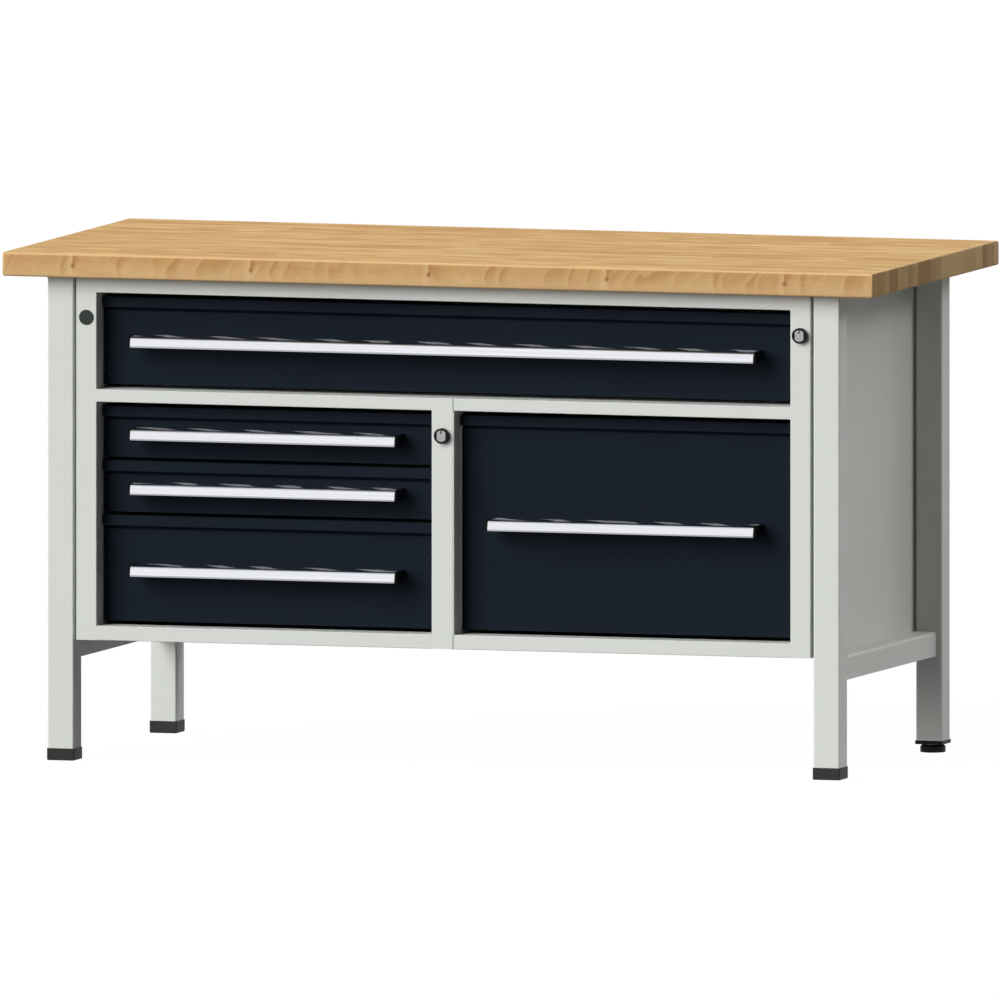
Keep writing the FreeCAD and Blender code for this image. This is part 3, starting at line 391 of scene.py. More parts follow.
def beech_face():
    """Top and underside: staves side by side, each with its own tone, patches, streaks and flecks, and a
    painted highlight near the edges.
    """
    material, tree, surface, place = new_material("beech_face")
    staves = place_group(tree, STAVES, {"Place": place, "Width": STAVE_WIDTH, "Length": STAVE_LENGTH})
    grain = place_group(tree, GRAIN, {"Place": place, "Shift": staves["Shift"]})
    arris = place_group(tree, ARRIS, {"Place": place, "Reach": FACE_ARRIS_REACH})
    colours = FACE_TONES
    stave = ranged(tree, staves["Tone"], 0.2, 0.8)
    tone = blended(tree, stave, colours["dark stave"], colours["pale stave"])
    tone = tinted(tree, tone, staves["Shift"], 0.3, 0.9, 0.5, colours["reddish stave"])
    tone = tinted(tree, tone, grain["Patch"], 0.5, 0.72, 0.75, colours["dark patch"], smooth=True)
    tone = tinted(tree, tone, grain["Patch"], 0.5, 0.3, 0.75, colours["pale patch"], smooth=True)
    tone = tinted(tree, tone, grain["Streak"], 0.46, 0.72, 0.45, colours["dark streak"])
    tone = tinted(tree, tone, grain["Streak"], 0.46, 0.3, 0.5, colours["pale streak"])
    tone = stained(tree, tone, grain["Vein"], 0.4, colours["vein"])
    tone = tinted(tree, tone, grain["Pore"], 0.45, 0.75, 0.14, colours["pore"])
    tone = stained(tree, tone, grain["Fleck"], 0.25, colours["fleck"])
    tone = stained(tree, tone, staves["Joint"], 0.35, colours["joint"])
    # Painted highlight near the slab's edges.
    tone = stained(tree, tone, arris["Arris"], 0.45, ARRIS_HIGHLIGHT)
    height = minus(tree, 1.0, times(tree, grain["Pore"], PORE_SHARE))
    height = minus(tree, height, times(tree, staves["Joint"], 0.5))
    finish_wood(tree, surface, tone, height, grain["Pore"], 0.46, 0.58)
    return material


def add_knots(tree, tone, along, up):
    """Small knots at an even spacing, each with a dark fan that rises to its right and light to its left.

    turns = (x - start) / spacing, and past = fract(turns) spacing is the way since the last knot. The fan
    is where up is above 0.9 past. A knot falls off with the length of (0.8 x, 0.75 z) from its middle.
    """
    turns = over(tree, minus(tree, along, KNOT_START), KNOT_SPACING)
    past = times(tree, maths(tree, "FRACT", turns), KNOT_SPACING)
    fan = ranged(tree, minus(tree, up, times(tree, past, FAN_SLOPE)), -0.008, 0.005, smooth=True)
    fan = times(tree, fan, ranged(tree, past, 0.0, FAN_LENGTH, 1.0, 0.0))
    tone = stained(tree, tone, fan, 0.8, EDGE_TONES["fan"])
    ahead = minus(tree, KNOT_SPACING, past)
    light = times(tree, ranged(tree, ahead, 0.0, 0.003), ranged(tree, ahead, 0.003, 0.014, 0.5, 0.0))
    tone = blended(tree, light, tone, EDGE_TONES["knot light"])
    aside = times(tree, maths(tree, "PINGPONG", turns, 0.5), KNOT_SPACING)
    spot = gathered(tree, times(tree, aside, 0.8), 0.0, times(tree, up, 0.75))
    reach = add(tree, "VectorMath", {0: spot}, operation="LENGTH").outputs["Value"]
    knot = ranged(tree, reach, 0.0002, KNOT_REACH, 1.0, 0.0, smooth=True)
    return stained(tree, tone, knot, 0.75, EDGE_TONES["knot"])


def beech_edge():
    """Long edges: the side of one stave, with the scalloped figure of flat sawn beech, small knots and a
    painted highlight along the upper arris.

    bowed = x - 20 (z - middle + 6 mm)^2, so that a line of one value is a bow open to the right, and
    turns = bowed / 36 mm + 3.4 noise. Each whole turn is a scallop, dark at its left rim and fading away
    from it. Its darkness and its paleness are each drawn at random.
    """
    material, tree, surface, place = new_material("beech_edge")
    grain = place_group(tree, GRAIN, {"Place": place, "Shift": EDGE_SHIFT})
    arris = place_group(tree, ARRIS, {"Place": place, "Reach": EDGE_ARRIS_REACH})
    colours = EDGE_TONES
    along, _, height = axes(tree, place)
    up = minus(tree, height, SLAB_MIDDLE.z)
    bow = maths(tree, "POWER", maths(tree, "ABSOLUTE", plus(tree, up, SCALLOP_DROP)), 2.0)
    bowed = minus(tree, along, times(tree, bow, SCALLOP_BOW))
    loose = gathered(tree, bowed, 0.3, times(tree, up, 0.6))
    sway = minus(tree, noise(tree, loose, 21.0, 2.0, 0.55), 0.5)
    turns = plus(tree, over(tree, bowed, SCALLOP_LENGTH), times(tree, sway, SCALLOP_SWAY))
    share = maths(tree, "FRACT", turns)
    draw = add(tree, "TexWhiteNoise", {"W": maths(tree, "FLOOR", turns)}, noise_dimensions="1D")
    darkness, paleness, _ = add(tree, "SeparateColor", {0: draw.outputs["Color"]}).outputs
    rim = times(tree, ranged(tree, share, 0.0, 0.2, smooth=True), ranged(tree, share, 0.15, 0.8, 1.0, 0.0))
    rim = times(tree, rim, ranged(tree, darkness, 0.1, 0.9, 0.1, 1.0))
    rim = times(tree, rim, ranged(tree, up, -0.018, 0.006, 0.2, 1.0, smooth=True))
    lower = ranged(tree, plus(tree, up, times(tree, sway, 0.03)), 0.016, -0.016, smooth=True)
    tone = blended(tree, lower, colours["upper part"], colours["lower part"])
    tone = stained(tree, tone, paleness, 0.5, colours["pale scallop"])
    tone = stained(tree, tone, rim, 0.75, colours["scallop rim"])
    tone = tinted(tree, tone, share, 0.8, 1.0, 0.18, colours["scallop end"])
    tone = tinted(tree, tone, grain["Streak"], 0.5, 0.75, 0.25, colours["streak"])
    tone = tinted(tree, tone, grain["Pore"], 0.45, 0.75, 0.12, colours["pore"])
    tone = stained(tree, tone, grain["Fleck"], 0.3, colours["fleck"])
    tone = add_knots(tree, tone, along, up)
    # Painted highlight along the upper arris, none along the lower one.
    upper_arris_highlight = times(tree, arris["Arris"], ranged(tree, up, -0.01, 0.01))
    tone = stained(tree, tone, upper_arris_highlight, 0.85, ARRIS_HIGHLIGHT)
    height = minus(tree, 1.0, times(tree, grain["Pore"], PORE_SHARE))
    finish_wood(tree, surface, tone, height, grain["Pore"], 0.46, 0.58)
    return material


def beech_end():
    """Ends: the cut staves side by side, each with its own tone, bend and lean of its growth rings.

    across = y + 40 bend z^2 + 0.8 bend z, with z from the slab's middle and bend = Shift - 0.5. The rings
    are noise of across, spaced about 3 mm.
    """
    material, tree, surface, place = new_material("beech_end")
    staves = place_group(tree, STAVES, {"Place": place, "Width": STAVE_WIDTH, "Length": STAVE_LENGTH})
    colours = END_TONES
    _, y, z = axes(tree, place)
    up = minus(tree, z, SLAB_MIDDLE.z)
    bend = minus(tree, staves["Shift"], 0.5)
    bow = times(tree, times(tree, up, up), times(tree, bend, RING_BEND))
    lean = times(tree, up, times(tree, bend, RING_LEAN))
    across = plus(tree, plus(tree, y, bow), lean)
    ringed = gathered(tree, 0.0, across, staves["Tone"])
    rings = noise(tree, stretched(tree, ringed, 1.0, 330.0, 40.0), 1.0)
    bands = noise(tree, stretched(tree, ringed, 1.0, 90.0, 40.0), 1.0, 1.0)
    pores = noise(tree, place, 1500.0, 1.0)
    stave = ranged(tree, staves["Tone"], 0.3, 0.7)
    tone = blended(tree, stave, colours["dark stave"], colours["pale stave"])
    tone = tinted(tree, tone, bands, 0.45, 0.7, 0.2, colours["band"])
    tone = tinted(tree, tone, rings, 0.45, 0.7, 0.18, colours["ring"])
    tone = tinted(tree, tone, pores, 0.55, 0.7, 0.3, colours["pore"])
    tone = stained(tree, tone, staves["Joint"], 0.5, colours["joint"])
    height = minus(tree, 1.0, times(tree, pores, 0.7))
    finish_wood(tree, surface, tone, height, pores, 0.55, 0.7)
    return material


BEECH = [beech_face(), beech_edge(), beech_end()]


# Paint, metal and plastic

# Near black of the painted shade inside a keyway.
KEYWAY_SHADE = screen(14, 14, 14)
SMUDGE_DULLING = 0.09
RUB_FACTOR = 1.25
RUB_LIFT = 0.004
RUB_GLOSS = 0.1
PIT_SHADE = 0.6
PIT_RELIEF = 0.00006
LINE_SHADE = 0.86
LINE_DULLING = 0.1
RECESS_START = 0.0002
RECESS_END = 0.001
CROWN_RATE = 70.0
CROWN_RISE_RATE = 31.0
CROWN_WANDER = 5.0

# Turns per metre of a metal's fine lines along each axis, with few along the way that it was drawn.
ALONG_X = (3.0, 900.0, 900.0)
ALONG_Y = (900.0, 12.0, 900.0)
ALONG_Z = (700.0, 700.0, 30.0)


def painted(name, colour, drift, roughness, specular, grain, relief):
    """Powder coated sheet: colour with a slow drift, a pebbled skin and faint handling marks."""
    material, tree, surface, place = new_material(name)
    coat = place_group(tree, COAT, {"Place": place, "Grain Scale": grain})
    darker = scaled(colour, 1 - drift)
    cloud = ranged(tree, coat["Cloud"], 0.3, 0.7)
    tone = blended(tree, cloud, darker, scaled(colour, 1 + drift))
    tone = stained(tree, tone, ranged(tree, coat["Grain"], 0.35, 0.7), drift, darker)
    gloss = ranged(tree, coat["Smudge"], 0.0, 1.0, roughness, roughness + SMUDGE_DULLING)
    fill(tree, surface, {"Base Color": tone, "Roughness": gloss, "Specular IOR Level": specular})
    bump(tree, surface, coat["Grain"], relief)
    return material


def drawn_metal(name, colour, stretch, roughness, relief, recess=None):
    """Bare metal with fine lines along the axis that stretch leaves longest.

    Behind the depth along Y that recess gives, as in a keyway, it darkens to near black within a
    millimetre: painted shade in the recess.
    """
    material, tree, surface, place = new_material(name)
    lines = place_group(tree, LINES, {"Place": stretched(tree, place, *stretch)})
    darker = scaled(colour, LINE_SHADE)
    tone = blended(tree, ranged(tree, lines["Line"], 0.35, 0.7), colour, darker)
    tone = tinted(tree, tone, lines["Band"], 0.4, 0.7, 0.5, darker)
    if recess is not None:
        behind = axes(tree, place)["Y"]
        # Painted shade: near black behind the front of the keyway.
        tone = tinted(tree, tone, behind, recess + RECESS_START, recess + RECESS_END, 1.0, KEYWAY_SHADE)
    gloss = ranged(tree, lines["Line"], 0.3, 0.7, roughness, roughness + LINE_DULLING)
    fill(tree, surface, {"Base Color": tone, "Roughness": gloss, "Metallic": 1.0})
    bump(tree, surface, lines["Line"], relief)
    return material


def crowned_metal(name, colour, reflection_colour, line_colour, roughness, relief):
    """Top of a grip: drawn metal with slanted pale bands painted on as reflections, seen only edge on.

    wave = sin(70 (x + y) + 31 z + 5 noise), about 90 mm from band to band. A band is a painted reflection,
    paler and less of a mirror, and it fades out where the surface turns to the viewer.
    """
    material, tree, surface, place = new_material(name)
    x, y, z = axes(tree, place)
    slant = times(tree, plus(tree, x, y), CROWN_RATE)
    slant = plus(tree, slant, times(tree, z, CROWN_RISE_RATE))
    slant = plus(tree, slant, times(tree, noise(tree, place, 9.0, 1.0), CROWN_WANDER))
    # Painted reflection bands, faded out unless the surface is seen edge on.
    band = ranged(tree, maths(tree, "SINE", slant), -0.1, 0.7, smooth=True)
    edge_on = ranged(tree, add(tree, "LayerWeight").outputs["Facing"], 0.68, 0.86)
    band = times(tree, band, edge_on)
    lines = place_group(tree, LINES, {"Place": stretched(tree, place, *ALONG_X)})
    tone = blended(tree, band, colour, reflection_colour)
    tone = tinted(tree, tone, lines["Line"], 0.35, 0.7, 0.25, line_colour)
    gloss = ranged(tree, lines["Line"], 0.3, 0.7, roughness, roughness + LINE_DULLING)
    mirror = ranged(tree, band, 0.0, 1.0, 1.0, 0.25)
    fill(tree, surface, {"Base Color": tone, "Roughness": gloss, "Metallic": mirror})
    bump(tree, surface, lines["Line"], relief)
    return material


def moulded(name, colour, roughness, grain, specular):
    """Moulded plastic with an eroded skin: close pits and slightly rubbed, glossier patches."""
    material, tree, surface, place = new_material(name)
    coat = place_group(tree, COAT, {"Place": place, "Grain Scale": grain})
    rubbed = tuple(min(1.0, value * RUB_FACTOR + RUB_LIFT) for value in colour[:3]) + (1.0,)
    tone = blended(tree, times(tree, coat["Smudge"], 0.5), colour, rubbed)
    tone = tinted(tree, tone, coat["Grain"], 0.5, 0.75, 0.3, scaled(colour, PIT_SHADE))
    gloss = ranged(tree, coat["Smudge"], 0.0, 1.0, roughness, roughness - RUB_GLOSS)
    fill(tree, surface, {"Base Color": tone, "Roughness": gloss, "Specular IOR Level": specular})
    bump(tree, surface, coat["Grain"], PIT_RELIEF)
    return material


FRAME_PAINT = painted(
    "frame_paint", screen(209, 212, 207),
    drift=0.012, roughness=0.5, specular=0.25, grain=800.0, relief=0.00004,
)
FRONT_PAINT = painted(
    "front_paint", screen(25, 31, 39),
    drift=0.06, roughness=0.42, specular=0.02, grain=1000.0, relief=0.00003,
)
TRAY_PAINT = painted(
    "tray_paint", screen(192, 195, 190),
    drift=0.015, roughness=0.5, specular=0.25, grain=800.0, relief=0.00004,
)
# Mid grey of the painted shadow line in the seam between the units.
SEAM_SHADOW = painted(
    "seam_painted_shadow", screen(122, 125, 120),
    drift=0.03, roughness=0.6, specular=0.1, grain=800.0, relief=0.00003,
)
HANDLE_METAL = drawn_metal(
    "handle_metal", (0.88, 0.89, 0.95, 1.0), ALONG_X, roughness=0.12, relief=0.000003
)
# Darker grey of the lower lip: painted shade standing in for its darker reflection.
SHADED_LIP_METAL = drawn_metal(
    "handle_lip", (0.5, 0.5, 0.51, 1.0), ALONG_X, roughness=0.2, relief=0.000003
)
# Grip tops with painted reflection bands.
CROWN_METAL = crowned_metal(
    "handle_crown", screen(215, 216, 224), screen(232, 233, 238), screen(180, 181, 188),
    roughness=0.14, relief=0.000003,
)
ZINC = drawn_metal(
    "zinc_steel", (0.62, 0.63, 0.65, 1.0), ALONG_Y, roughness=0.36, relief=0.00001
)
# Lock faces, with painted shade in the keyway.
LOCK_METAL = drawn_metal(
    "lock_metal", (0.46, 0.455, 0.445, 1.0), ALONG_Z, roughness=0.3, relief=0.00001, recess=LOCK_FRONT
)
CAP_PLASTIC = moulded("cap_plastic", screen(9, 9, 10), roughness=0.4, grain=1300.0, specular=0.1)
FOOT_PLASTIC = moulded("foot_plastic", screen(52, 52, 51), roughness=0.55, grain=1200.0, specular=0.1)
LEVELLER_PLASTIC = moulded(
    "leveller_plastic", screen(24, 24, 24), roughness=0.5, grain=1200.0, specular=0.1
)
COLLAR_PLASTIC = moulded(
    "collar_plastic", screen(17, 18, 18), roughness=0.4, grain=1400.0, specular=0.15
)
PLUG_PLASTIC = moulded("plug_plastic", screen(48, 52, 49), roughness=0.55, grain=1400.0, specular=0.2)


# Meshes

PLATE_FACE_RING = 1.04
TURNED_SIDES = 96
SHARP_ANGLE = 35


def rectangle(left, right, bottom, top, radius):
    """Corners of a rectangle, anticlockwise, as rows of place and radius."""
    return [(left, bottom, radius), (right, bottom, radius), (right, top, radius), (left, top, radius)]


def rounded_outline(section, steps):
    """Closed outline through the section's corners, rounded by arcs, and its outward normals.

    A row of the section is a corner's two places and the radius of its arc, and corners run anticlockwise.
    Where unit directions a and b meet and turn by angle t, the arc starts r tan(|t| / 2) before the corner,
    and its centre lies r to the side that the outline turns to.
    """
    section = np.asarray(section, float)
    corners, radii = section[:, :2], section[:, 2]
    before = corners - np.roll(corners, 1, axis=0)
    before /= np.linalg.norm(before, axis=1, keepdims=True)
    after = np.roll(before, -1, axis=0)
    cross = before[:, 0] * after[:, 1] - before[:, 1] * after[:, 0]
    turn = np.arctan2(cross, (before * after).sum(axis=1))
    side = np.sign(turn)
    start = corners - before * (radii * np.tan(np.abs(turn) / 2))[:, None]
    left = np.stack([-before[:, 1], before[:, 0]], axis=1)
    centre = start + left * (side * radii)[:, None]
    angle = turn[:, None] * np.linspace(0, 1, steps)[None, :]
    spoke = -left * side[:, None]
    swung_x = spoke[:, :1] * np.cos(angle) - spoke[:, 1:] * np.sin(angle)
    swung_y = spoke[:, :1] * np.sin(angle) + spoke[:, 1:] * np.cos(angle)
    swung = np.stack([swung_x, swung_y], axis=-1)
    points = centre[:, None, :] + swung * radii[:, None, None]
    normals = swung * side[:, None, None]
    return points.reshape(-1, 2), normals.reshape(-1, 2)


def ring_faces(rings, around, joined=False):
    """Quads between successive closed rings, and a cap at each end unless the last ring joins the first."""
    count = rings if joined else rings - 1
    ring = np.arange(count)[:, None] * around
    following_ring = ((np.arange(count) + 1) % rings)[:, None] * around
    step = np.arange(around)[None, :]
    following = (step + 1) % around
    quads = [ring + step, ring + following, following_ring + following, following_ring + step]
    faces = np.stack(quads, axis=-1).reshape(-1, 4).tolist()
    if not joined:
        faces.append(list(range(around))[::-1])
        faces.append(list(range((rings - 1) * around, rings * around)))
    return faces


def plate(section, low, high, edge, corner_steps, edge_steps):
    """Plate of a rounded section between two heights, whose rim is rounded at both faces.

    Ring (t) of the rim is the outline inset by edge (1 - sin t) at the height low + edge (1 - cos t), for t
    from 0 to a quarter turn, and the same mirrored at the other face. One more ring just inside, at each
    face, keeps the shading of the face itself flat. No radius of the section is under 1.05 edge.
    """
    outline, normals = rounded_outline(section, corner_steps)
    angle = np.linspace(0, math.pi / 2, edge_steps)
    inset = np.concatenate([[edge * PLATE_FACE_RING], edge * (1 - np.sin(angle))])
    rise = np.concatenate([[0.0], edge * (1 - np.cos(angle))])
    inset = np.concatenate([inset, inset[::-1]])
    heights = np.concatenate([low + rise, high - rise[::-1]])
    flat = outline[None] - normals[None] * inset[:, None, None]
    level = np.broadcast_to(heights[:, None, None], flat.shape[:2] + (1,))
    points = np.concatenate([flat, level], axis=-1).reshape(-1, 3)
    return points, ring_faces(len(heights), len(outline))


def turned(profile, joined=False):
    """Profile of radius and height swept round the axis: point (r cos a, r sin a, h)."""
    profile = np.asarray(profile, float)
    angle = np.linspace(0, 2 * math.pi, TURNED_SIDES, endpoint=False)
    radius = profile[:, :1]
    height = np.broadcast_to(profile[:, 1:], (len(profile), TURNED_SIDES))
    points = np.stack([radius * np.cos(angle), radius * np.sin(angle), height], axis=-1)
    return points.reshape(-1, 3), ring_faces(len(profile), TURNED_SIDES, joined)


def joined_shapes(shapes):
    """Several shapes as one list of points and faces."""
    points, faces, start = [], [], 0
    for shape_points, shape_faces in shapes:
        points.append(shape_points)
        faces += [[start + corner for corner in face] for face in shape_faces]
        start += len(shape_points)
    return np.concatenate(points), faces


def enclosed_volume(points, faces):
    """Volume inside a closed mesh, negative when its faces point inwards: the sum of a . (b x c) / 6."""
    corners = np.array([(face[0], face[i], face[i + 1]) for face in faces for i in range(1, len(face) - 1)])
    a, b, c = (points[corners[:, i]] for i in range(3))
    return float((a * np.cross(b, c)).sum() / 6)


def place_object(name, data):
    """Object of a mesh, lamp or camera, in the scene."""
    item = bpy.data.objects.new(name, data)
    bpy.context.scene.collection.objects.link(item)
    return item


def make_piece(name, points, faces, materials, body, slot, *nodes):
    """Smooth shaded object with sharp edges kept, riding on its body in place of the nodes."""
    if enclosed_volume(points, faces) < 0:
        faces = [face[::-1] for face in faces]
    mesh = bpy.data.meshes.new(name)
    mesh.from_pydata(points.tolist(), [], faces)
    mesh.validate()
    for material in materials:
        mesh.materials.append(material)
    mesh.shade_smooth()
    mesh.set_sharp_from_angle(angle=math.radians(SHARP_ANGLE))
    piece = place_object(name, mesh)
    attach(piece, body)
    if nodes:
        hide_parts(*nodes)
    return piece


def face_rows(piece, kind):
    """Normal or center of each face of a piece, as rows of three."""
    rows = np.zeros(len(piece.data.polygons) * 3, np.float32)
    piece.data.polygons.foreach_get(kind, rows)
    return rows.reshape(-1, 3)


def set_finishes(piece, kinds):
    """Material of each face of a piece, by its number in the piece's list."""
    piece.data.polygons.foreach_set("material_index", kinds.astype(np.int32))


def to_front(points):
    """Points drawn along +Z swung so that they point at the viewer, along -Y."""
    return points[:, [0, 2, 1]] * np.array([1, -1, 1])


# Worktop

SLAB_CORNER = 0.0038
SLAB_EDGE = 0.0036
FACE_TILT = 0.8


def make_worktop():
    """Slab with softly rounded edges, whose faces, long edges and ends show different cuts of the wood."""
    low, high = SLAB_LOW, SLAB_HIGH
    section = rectangle(low.x, high.x, low.y, high.y, SLAB_CORNER)
    points, faces = plate(section, low.z, high.z, SLAB_EDGE, corner_steps=10, edge_steps=10)
    piece = make_piece("worktop_slab", points, faces, BEECH, "bench", "beech", "worktop")
    steep = np.abs(face_rows(piece, "normal"))
    face, edge, end = range(3)
    side = np.where(steep[:, 1] > steep[:, 0], edge, end)
    set_finishes(piece, np.where(steep[:, 2] > FACE_TILT, face, side))


# Seams of the cabinet front

BEAD_REACH = 0.0016
BEAD_LAP = 0.0002
BEAD_DEPTH = 0.0015
BEAD_RISE = 0.00004
BEAD_CORNER = 0.0002
SEAM_WIDTH = 0.0013
SEAM_RISE = BEAD_RISE * 1.5


def add_beads(name, spans, rise, finish):
    """One piece of thin rounded plates, each as (left, right, bottom, top), proud of the front by rise."""
    back, front = -CABINET_FRONT - BEAD_DEPTH, -CABINET_FRONT + rise
    shapes = []
    for span in spans:
        section = rectangle(*span, BEAD_CORNER)
        points, faces = plate(section, back, front, rise / 2, corner_steps=4, edge_steps=3)
        shapes.append((to_front(points), faces))
    points, faces = joined_shapes(shapes)
    make_piece(name, points, faces, [finish], "bench", "cabinet_paint")


def make_seam_beads():
    """Ground flush beads that close the seams between the rails and the posts."""
    left, right = (corner.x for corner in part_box("top_rail"))
    spans = []
    for rail in ("top_rail", "shelf_left", "floor_left"):
        low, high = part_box(rail)
        spans.append((left - BEAD_REACH, left + BEAD_LAP, low.z, high.z))
        spans.append((right - BEAD_LAP, right + BEAD_REACH, low.z, high.z))
    bottom, top = (corner.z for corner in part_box("floor_left"))
    low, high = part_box("centre_wall_left")
    spans.append((low.x - BEAD_REACH, low.x + BEAD_REACH, bottom, top))
    spans.append((low.x, high.x, high.z - BEAD_LAP, high.z + BEAD_REACH))
    add_beads("seam_beads", spans, BEAD_RISE, FRAME_PAINT)


def make_unit_seam_shadow():
    """Painted shadow line where the right unit's rails meet the centre post: a thin dark plate just proud
    of the front.
    """
    spans = []
    for rail in ("shelf_right", "floor_right"):
        low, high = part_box(rail)
        spans.append((low.x - SEAM_WIDTH, low.x + BEAD_LAP, low.z + BEAD_LAP, high.z - BEAD_LAP))
    add_beads("unit_seam", spans, SEAM_RISE, SEAM_SHADOW)


# Handles

DRAWERS = ["wide_drawer", "upper_drawer", "middle_drawer", "lower_drawer", "deep_drawer"]

# Rows hold the place along Y from the drawer's face, the height about the handle's middle, and the radius.
STRIP_SECTION = [
    (0, 0.009, 0.0003),
    (-0.044, 0.009, 0.0085),
    (-0.0467, -0.0068, 0.0018),
    (-0.0461, -0.0093, 0.0007),
    (-0.0445, -0.0093, 0.0006),
    (-0.0415, 0.0065, 0.006),
    (-0.0025, 0.0065, 0.001),
    (-0.0025, -0.007, 0.0006),
    (0, -0.007, 0.0003),
]
LIP_TOP = -0.0066
LIP_TILT = -0.3
CROWN_TILT = 0.55
CAP_SECTION = [
    (0, 0.0096, 0.0008),
    (-0.0446, 0.0096, 0.011),
    (-0.0476, -0.0096, 0.002),
    (-0.025, -0.0096, 0.002),
    (0, -0.0039, 0.0008),
]
CAP_THICKNESS = 0.004
CAP_EDGE = 0.0007


def make_strip(drawer):
    """Drawn strip with a crowned grip and a bent lip below it, the lip painted darker as shade: one section
    carried from end to end.
    """
    low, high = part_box(drawer + "_handle")
    middle = (low.z + high.z) / 2
    section, _ = rounded_outline(STRIP_SECTION, steps=16)
    section = section + [high.y, middle]
    rings = [np.column_stack([np.full(len(section), x), section]) for x in (low.x, high.x)]
    finishes = [HANDLE_METAL, CROWN_METAL, SHADED_LIP_METAL]
    shape = np.concatenate(rings), ring_faces(2, len(section))
    name = drawer + "_handle_strip"
    piece = make_piece(name, *shape, finishes, drawer, "handle_aluminium", drawer + "_handle")
    normals = face_rows(piece, "normal")
    # Crown faces get the painted reflection bands, lower lip faces the painted shade.
    lip = (face_rows(piece, "center")[:, 2] < middle + LIP_TOP) & (normals[:, 1] < LIP_TILT)
    face, crown, bent = range(3)
    set_finishes(piece, np.where(normals[:, 2] > CROWN_TILT, crown, np.where(lip, bent, face)))


def make_grip_ends(drawer):
    """Plastic cap at each end of the strip."""
    low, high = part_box(drawer + "_handle")
    middle = (low.z + high.z) / 2
    cap_low, cap_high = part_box(drawer + "_handle_caps")
    shapes = []
    for start in (cap_low.x, cap_high.x - CAP_THICKNESS):
        end = start + CAP_THICKNESS
        points, faces = plate(CAP_SECTION, start, end, CAP_EDGE, corner_steps=12, edge_steps=5)
        shapes.append((points[:, [2, 0, 1]] + [0, high.y, middle], faces))
    shape = joined_shapes(shapes)
    make_piece(drawer + "_grip_ends", *shape, [CAP_PLASTIC], drawer, "cap_plastic", drawer + "_handle_caps")


# Locks and plug

CAM_DROP = 0.0125
COLLAR_SECTION = [
    (0.0097, 0.0, 0.0002),
    (0.01275, 0.0, 0.0002),
    (0.01275, 0.0085, 0.0014),
    (0.0097, 0.0085, 0.0006),
]
PLUG_STEM = 0.0085
PLUG_DEPTH = 0.01
PLUG_RADIUS = 0.0125
PLUG_RIM = 0.0008


def make_collars():
    """Two turned rings with a rounded outer rim, about the key cylinders, whose cams hang below them."""
    half_section, _ = rounded_outline(COLLAR_SECTION, steps=8)
    shapes = []
    for barrel in ("lock_barrel_centre", "lock_barrel_right"):
        low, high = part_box(barrel)
        points, faces = turned(half_section, joined=True)
        place = [(low.x + high.x) / 2, CABINET_FRONT, low.z + CAM_DROP]
        shapes.append((to_front(points) + place, faces))
    shape = joined_shapes(shapes)
    make_piece("lock_rings", *shape, [COLLAR_PLASTIC], "bench", "lock_plastic", "lock_collars")


def make_plug():
    """Flat button with a rim rounded by a quarter circle, and its stem."""
    profile = [(PLUG_STEM, -PLUG_DEPTH), (PLUG_STEM, 0.0), (PLUG_RADIUS, 0.0), (PLUG_RADIUS, PLUG_RIM)]
    angle = np.linspace(0, math.pi / 2, 6)[1:]
    rim_radius = PLUG_RADIUS - PLUG_RIM + PLUG_RIM * np.cos(angle)
    rim = np.column_stack([rim_radius, PLUG_RIM + PLUG_RIM * np.sin(angle)])
    points, faces = turned(np.concatenate([profile, rim]))
    low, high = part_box("blanking_plug")
    points = to_front(points) + [(low.x + high.x) / 2, CABINET_FRONT, (low.z + high.z) / 2]
    make_piece("post_button", points, faces, [PLUG_PLASTIC], "bench", "lock_plastic", "blanking_plug")


# Levelling foot

GLIDE_SECTION = [
    (0.0005, 0.0045, 0.0001),
    (0.0005, 0.0, 0.0001),
    (0.021, 0.0, 0.0015),
    (0.021, 0.0095, 0.001),
    (0.018, 0.0125, 0.001),
    (0.00525, 0.0125, 0.0004),
    (0.00525, 0.0045, 0.0001),
]


def make_glide():
    """Round levelling foot with a soft rim and shoulder and a socket for its spindle."""
    half_section, _ = rounded_outline(GLIDE_SECTION, steps=6)
    points, faces = turned(half_section, joined=True)
    low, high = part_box("leveller_spindle")
    points = points + [(low.x + high.x) / 2, (low.y + high.y) / 2, 0]
    finish = [LEVELLER_PLASTIC]
    make_piece("levelling_disc", points, faces, finish, "leveller_foot", "foot_plastic", "leveller_glide")


# Finishes of the CAD nodes

SLOT_FINISHES = {
    "frame_paint": FRAME_PAINT,
    "cabinet_paint": FRAME_PAINT,
    "front_paint": FRONT_PAINT,
    "tray_paint": TRAY_PAINT,
    "foot_plastic": FOOT_PLASTIC,
    "zinc_steel": ZINC,
    "lock_chrome": LOCK_METAL,
}
NODE_FINISHES = {"leveller_insert": LEVELLER_PLASTIC}


def dress_nodes():
    """Finish of every CAD node that is shown, by its slot in the record or by its own name."""
    for entry in frame["record"]["subparts"]:
        by_slot = SLOT_FINISHES.get(entry["material_slot"])
        finish = NODE_FINISHES.get(entry["node"], by_slot)
        if finish:
            materials = frame["nodes"][entry["node"]].data.materials
            materials.clear()
            materials.append(finish)


make_worktop()
make_seam_beads()
make_unit_seam_shadow()
for drawer in DRAWERS:
    make_strip(drawer)
    make_grip_ends(drawer)
make_collars()
make_plug()
make_glide()
dress_nodes()


# Floor, light and camera

WHITE = (1.0, 1.0, 1.0, 1.0)
FLOOR_REACH = 60
FLOOR_TONE = (0.2, 0.2, 0.2, 1.0)
FLOOR_TONE_SEEN = (0.06, 0.06, 0.06, 1.0)
FLOOR_GLOW_SEEN = 0.965
AMBIENT = 0.01

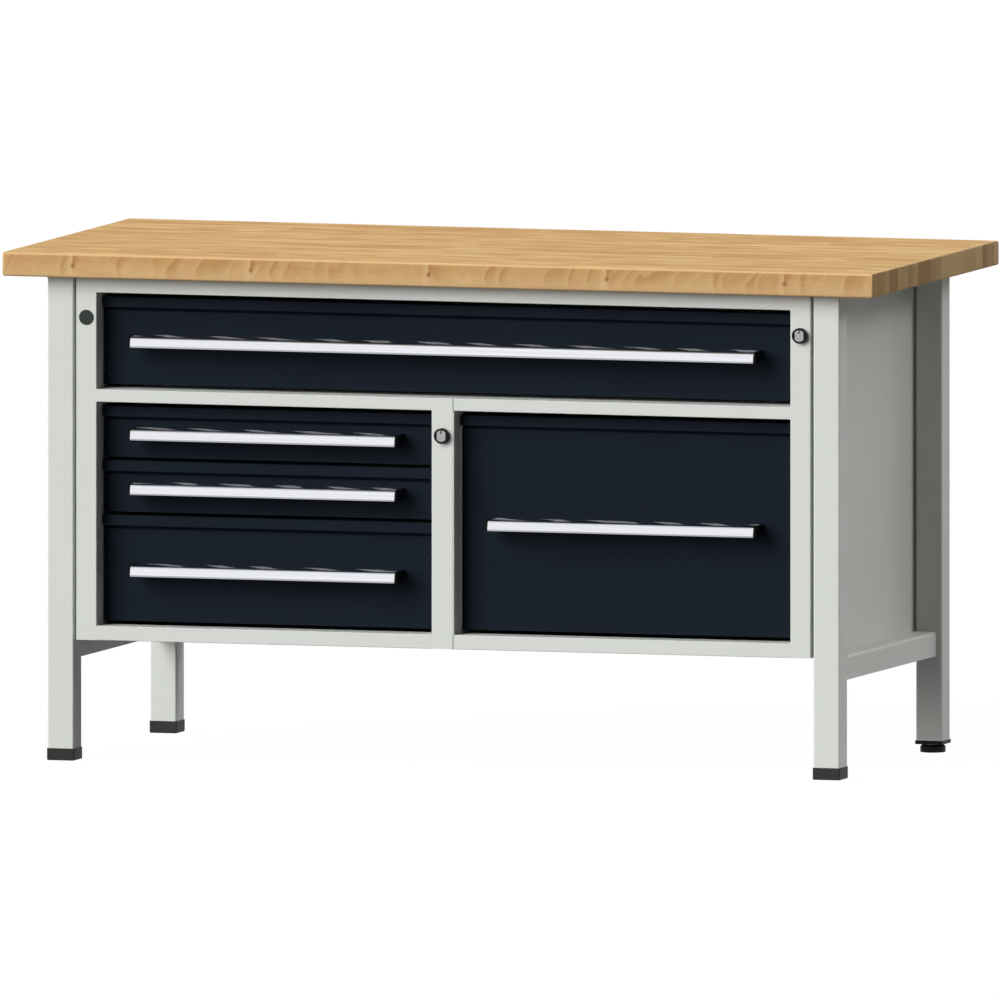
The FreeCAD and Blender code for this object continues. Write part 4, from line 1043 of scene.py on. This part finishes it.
# Name, azimuth and elevation in degrees, strength, and the width of the disc in degrees.
LAMPS = [
    ("key", -35, 24, 3.88, 48),
    ("right_high", 100, 50, 0.35, 36),
    ("right", 97, 30, 0.79, 20),
    ("rear", 170, 25, 0.92, 40),
]

CAMERA_WIDTH = 1.6447
CAMERA_AZIMUTH = 17.29
CAMERA_ELEVATION = 4.75
CAMERA_AIM = Vector((-0.001, 0, 0.421))
CAMERA_DISTANCE = 5
CAMERA_RANGE = (0.1, 200)


def camera_like(tree):
    """1 for rays from the camera and for reflected or transmitted ones, which all see the backdrop."""
    path = add(tree, "LightPath").outputs
    seen = maths(tree, "MAXIMUM", path["Is Camera Ray"], path["Is Glossy Ray"])
    return maths(tree, "MAXIMUM", seen, path["Is Transmission Ray"])


def make_floor():
    """Pale floor that shows as a white backdrop and keeps a light shadow of the object."""
    corners = [(-FLOOR_REACH, -FLOOR_REACH, 0), (FLOOR_REACH, -FLOOR_REACH, 0)]
    corners += [(FLOOR_REACH, FLOOR_REACH, 0), (-FLOOR_REACH, FLOOR_REACH, 0)]
    mesh = bpy.data.meshes.new("floor")
    mesh.from_pydata(corners, [], [(0, 1, 2, 3)])
    floor = place_object("floor", mesh)
    material = bpy.data.materials.new("studio_floor")
    tree = bare_tree(material)
    seen = camera_like(tree)
    matt = add(tree, "BsdfDiffuse", {0: blended(tree, seen, FLOOR_TONE, FLOOR_TONE_SEEN)})
    glow = add(tree, "Emission", {0: WHITE, 1: times(tree, seen, FLOOR_GLOW_SEEN)})
    both = add(tree, "AddShader", {0: matt.outputs[0], 1: glow.outputs[0]})
    add(tree, "OutputMaterial", {0: both.outputs[0]})
    mesh.materials.append(material)


def make_world(ambient):
    """White surroundings to look at, and a weaker even light from them."""
    world = bpy.data.worlds.new("studio")
    tree = bare_tree(world)
    strength = ranged(tree, camera_like(tree), 0.0, 1.0, ambient, 1.0)
    background = add(tree, "Background", {0: WHITE, 1: strength})
    add(tree, "OutputWorld", {0: background.outputs[0]})
    bpy.context.scene.world = world


def toward(azimuth, elevation):
    """Unit vector from the object to a point seen at that azimuth, 0 in front and 90 on the right."""
    turn, rise = math.radians(azimuth), math.radians(elevation)
    return Vector((math.sin(turn) * math.cos(rise), -math.cos(turn) * math.cos(rise), math.sin(rise)))


def look_back(item, direction):
    """Lamp or camera turned so that the direction is behind it."""
    item.rotation_mode = "QUATERNION"
    item.rotation_quaternion = direction.to_track_quat("Z", "Y")


def add_lamp(name, azimuth, elevation, strength, spread):
    """Distant lamp with a soft disc, which gloss doesn't mirror."""
    data = bpy.data.lights.new(name, "SUN")
    data.energy = strength
    data.angle = math.radians(spread)
    lamp = place_object(name, data)
    lamp.visible_glossy = False
    look_back(lamp, toward(azimuth, elevation))


def aim_camera():
    """Parallel view at the photograph's angle, as its parallel edges stay parallel, and its frame."""
    data = bpy.data.cameras.new("camera")
    data.type = "ORTHO"
    data.ortho_scale = CAMERA_WIDTH
    data.clip_start, data.clip_end = CAMERA_RANGE
    camera = place_object("camera", data)
    back = toward(CAMERA_AZIMUTH, CAMERA_ELEVATION)
    camera.location = CAMERA_AIM + back * CAMERA_DISTANCE
    look_back(camera, back)
    bpy.context.scene.camera = camera


make_floor()
make_world(AMBIENT)
for lamp in LAMPS:
    add_lamp(*lamp)
aim_camera()
bpy.context.scene.view_settings.view_transform = "Standard"
